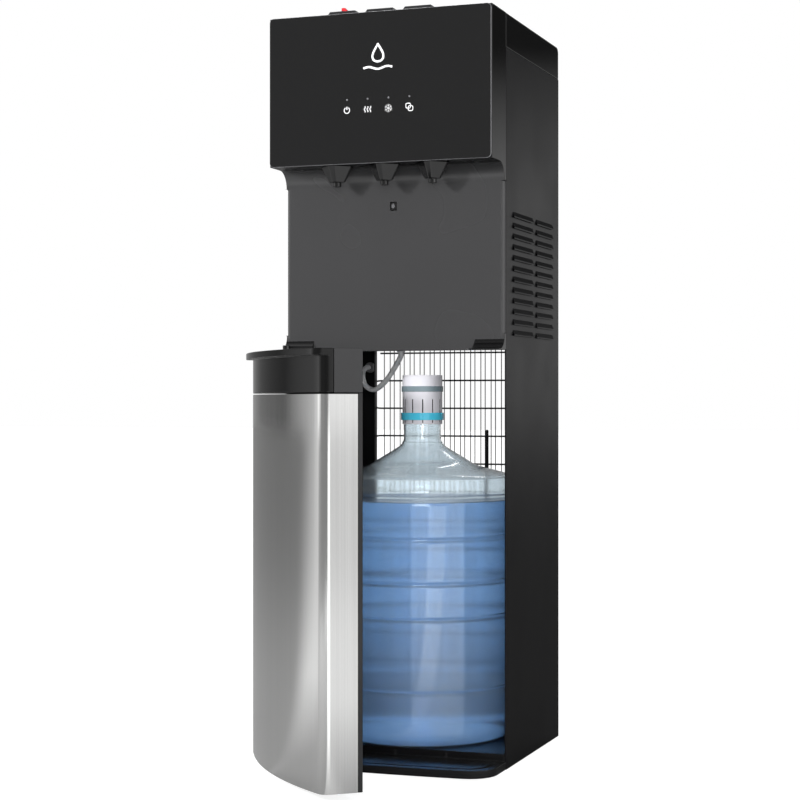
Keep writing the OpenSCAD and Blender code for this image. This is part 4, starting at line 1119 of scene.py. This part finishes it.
water_low, water_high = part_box("bottle_water")
WATER_TOP = water_high.z - FOOT_Z
wet = [p for p in moved_in(outside, WALL + 0.0003) if p[1] < WATER_TOP - 0.001]
wet[0] = (0.0, wet[1][1])
rim = wet[-1][0]
wet += [(rim, WATER_TOP), (rim - 0.0012, WATER_TOP - 0.0007), (rim - 0.004, WATER_TOP - 0.001),
        (0.0, WATER_TOP - 0.001)]
water_mesh = lathe_mesh("bottle_water_body", wet, 96, "Z", (BOTTLE_X, BOTTLE_Y, FOOT_Z))
sharp_by_angle(water_mesh, 60)
water_mesh.materials.append(finishes["bottle_water"])
water = add_object("bottle_water_body", water_mesh, "bottle")
stand_in("bottle_water")
print("bottle radius", round(BOTTLE_R * 1000), "mm, height", round((bottle_high.z - FOOT_Z) * 1000), "mm")

# %% [markdown]
# ## Cap
# The cap snaps over the neck. It is white with slots that let its skirt spread, a blue ring at its foot and
# a grey seal near its top. One copy of the CAD shape takes three finishes by height, and its slot walls are
# painted black, a painted shadow in the narrow gaps.

# %% Finish the cap
cap_low, cap_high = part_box("bottle_cap")
CYAN_BAND = (cap_low.z + 0.0055, cap_low.z + 0.0170)
GREY_BAND = (cap_low.z + 0.0465, cap_low.z + 0.0555)
SLOT = (cap_low.z + 0.0015, cap_low.z + 0.0365)
CAP_R = 0.029
SLOT_DEPTH = 0.0017


def cap_finish(centre, normal):
    away = math.hypot(centre.x - BOTTLE_X, centre.y - BOTTLE_Y)
    # The slot walls: painted black, a painted shadow in the narrow gaps.
    if CAP_R - SLOT_DEPTH < away < CAP_R - 0.0001 and SLOT[0] < centre.z < SLOT[1]:
        return "rubber_black"
    if away > CAP_R + 0.0004 and CYAN_BAND[0] < centre.z < CYAN_BAND[1]:
        return "cap_cyan"
    if away > CAP_R + 0.0004 and GREY_BAND[0] < centre.z < GREY_BAND[1]:
        return "cap_grey"
    return None


finished("bottle_cap", "cap_white", 0.0003, 2, 30, cap_finish)
print("cap height", round((cap_high.z - cap_low.z) * 1000), "mm")

# %% [markdown]
# ## Supply hose
# A silicone hose runs from the fitting in the shelf to the one in the rear post. It is a fixed length of a
# limp material, so it leaves each fitting straight and sags between them. A curve follows the same points
# as the CAD hose, and the bevel gives it its thickness.

# %% Lay the hose
HOSE_R = 0.004
HOSE_ROUTE = [
    (-44, 9, 580), (-44, 9, 576), (-47, 12, 571), (-52, 16, 565), (-59, 22, 557), (-67, 29, 549), (-76, 37, 541),
    (-86, 46, 534), (-97, 55, 528), (-108, 64, 525), (-119, 73, 527), (-129, 81, 533), (-135, 89, 543),
    (-138, 96, 552), (-137, 103, 558), (-135, 110, 560), (-135, 113, 560)]
route = [Vector(p) * MM for p in HOSE_ROUTE]
hose_line = [Vector(p) for p in smooth_points(route, 4)]
hose_data = round_line("supply_hose_line", [(hose_line, False)], HOSE_R, 5)
hose_data.materials.append(finishes["silicone"])
hose = add_object("supply_hose_line", hose_data, "cabinet")
stand_in("supply_hose")
finished("hose_fitting_top", "white_plastic", 0.0007, 3)
finished("hose_fitting_rear", "grey_plastic", 0.0007, 3)

# %% [markdown]
# ## Machine compartment
# These parts are hidden behind the alcove and the rear cover, and they show only through gaps. They still
# get their real finishes: enamelled compressor, copper coil, foam jacket, steel tanks.

# %% Finish the hidden parts
HIDDEN = {
    "compressor": ("compressor_black", 0.0012), "compressor_grommets": ("rubber_black", 0.0006),
    "discharge_line": ("condenser_black", 0), "filter_drier": ("copper", 0.0008), "cold_tank": ("tank_steel", 0),
    "evaporator_coil": ("copper", 0), "cold_tank_foam": ("foam_white", 0.002), "hot_tank": ("tank_steel", 0),
    "heater_band": ("mica_brown", 0.0008), "water_pump": ("white_plastic", 0.001),
    "control_board": ("board_green", 0.0002), "button_switches": ("liner_black", 0.0003),
    "outlet_tubes": ("silicone", 0), "solenoid_valves": ("white_plastic", 0.0006)}
for name, (finish, radius) in HIDDEN.items():
    finished(name, finish, radius)
print("hidden parts:", len(HIDDEN))

# %% [markdown]
# ## Close the frame
# The size of the finished model is written beside the bare frame's, because a finish may not change the
# size of the real thing.

# %% Compare sizes and finish
seen_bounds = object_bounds()
for axis, low, high, vlow, vhigh in zip("xyz", cad_bounds[0], cad_bounds[1], seen_bounds[0], seen_bounds[1]):
    print(axis, "frame", round(low, 4), round(high, 4), "finished", round(vlow, 4), round(vhigh, 4))
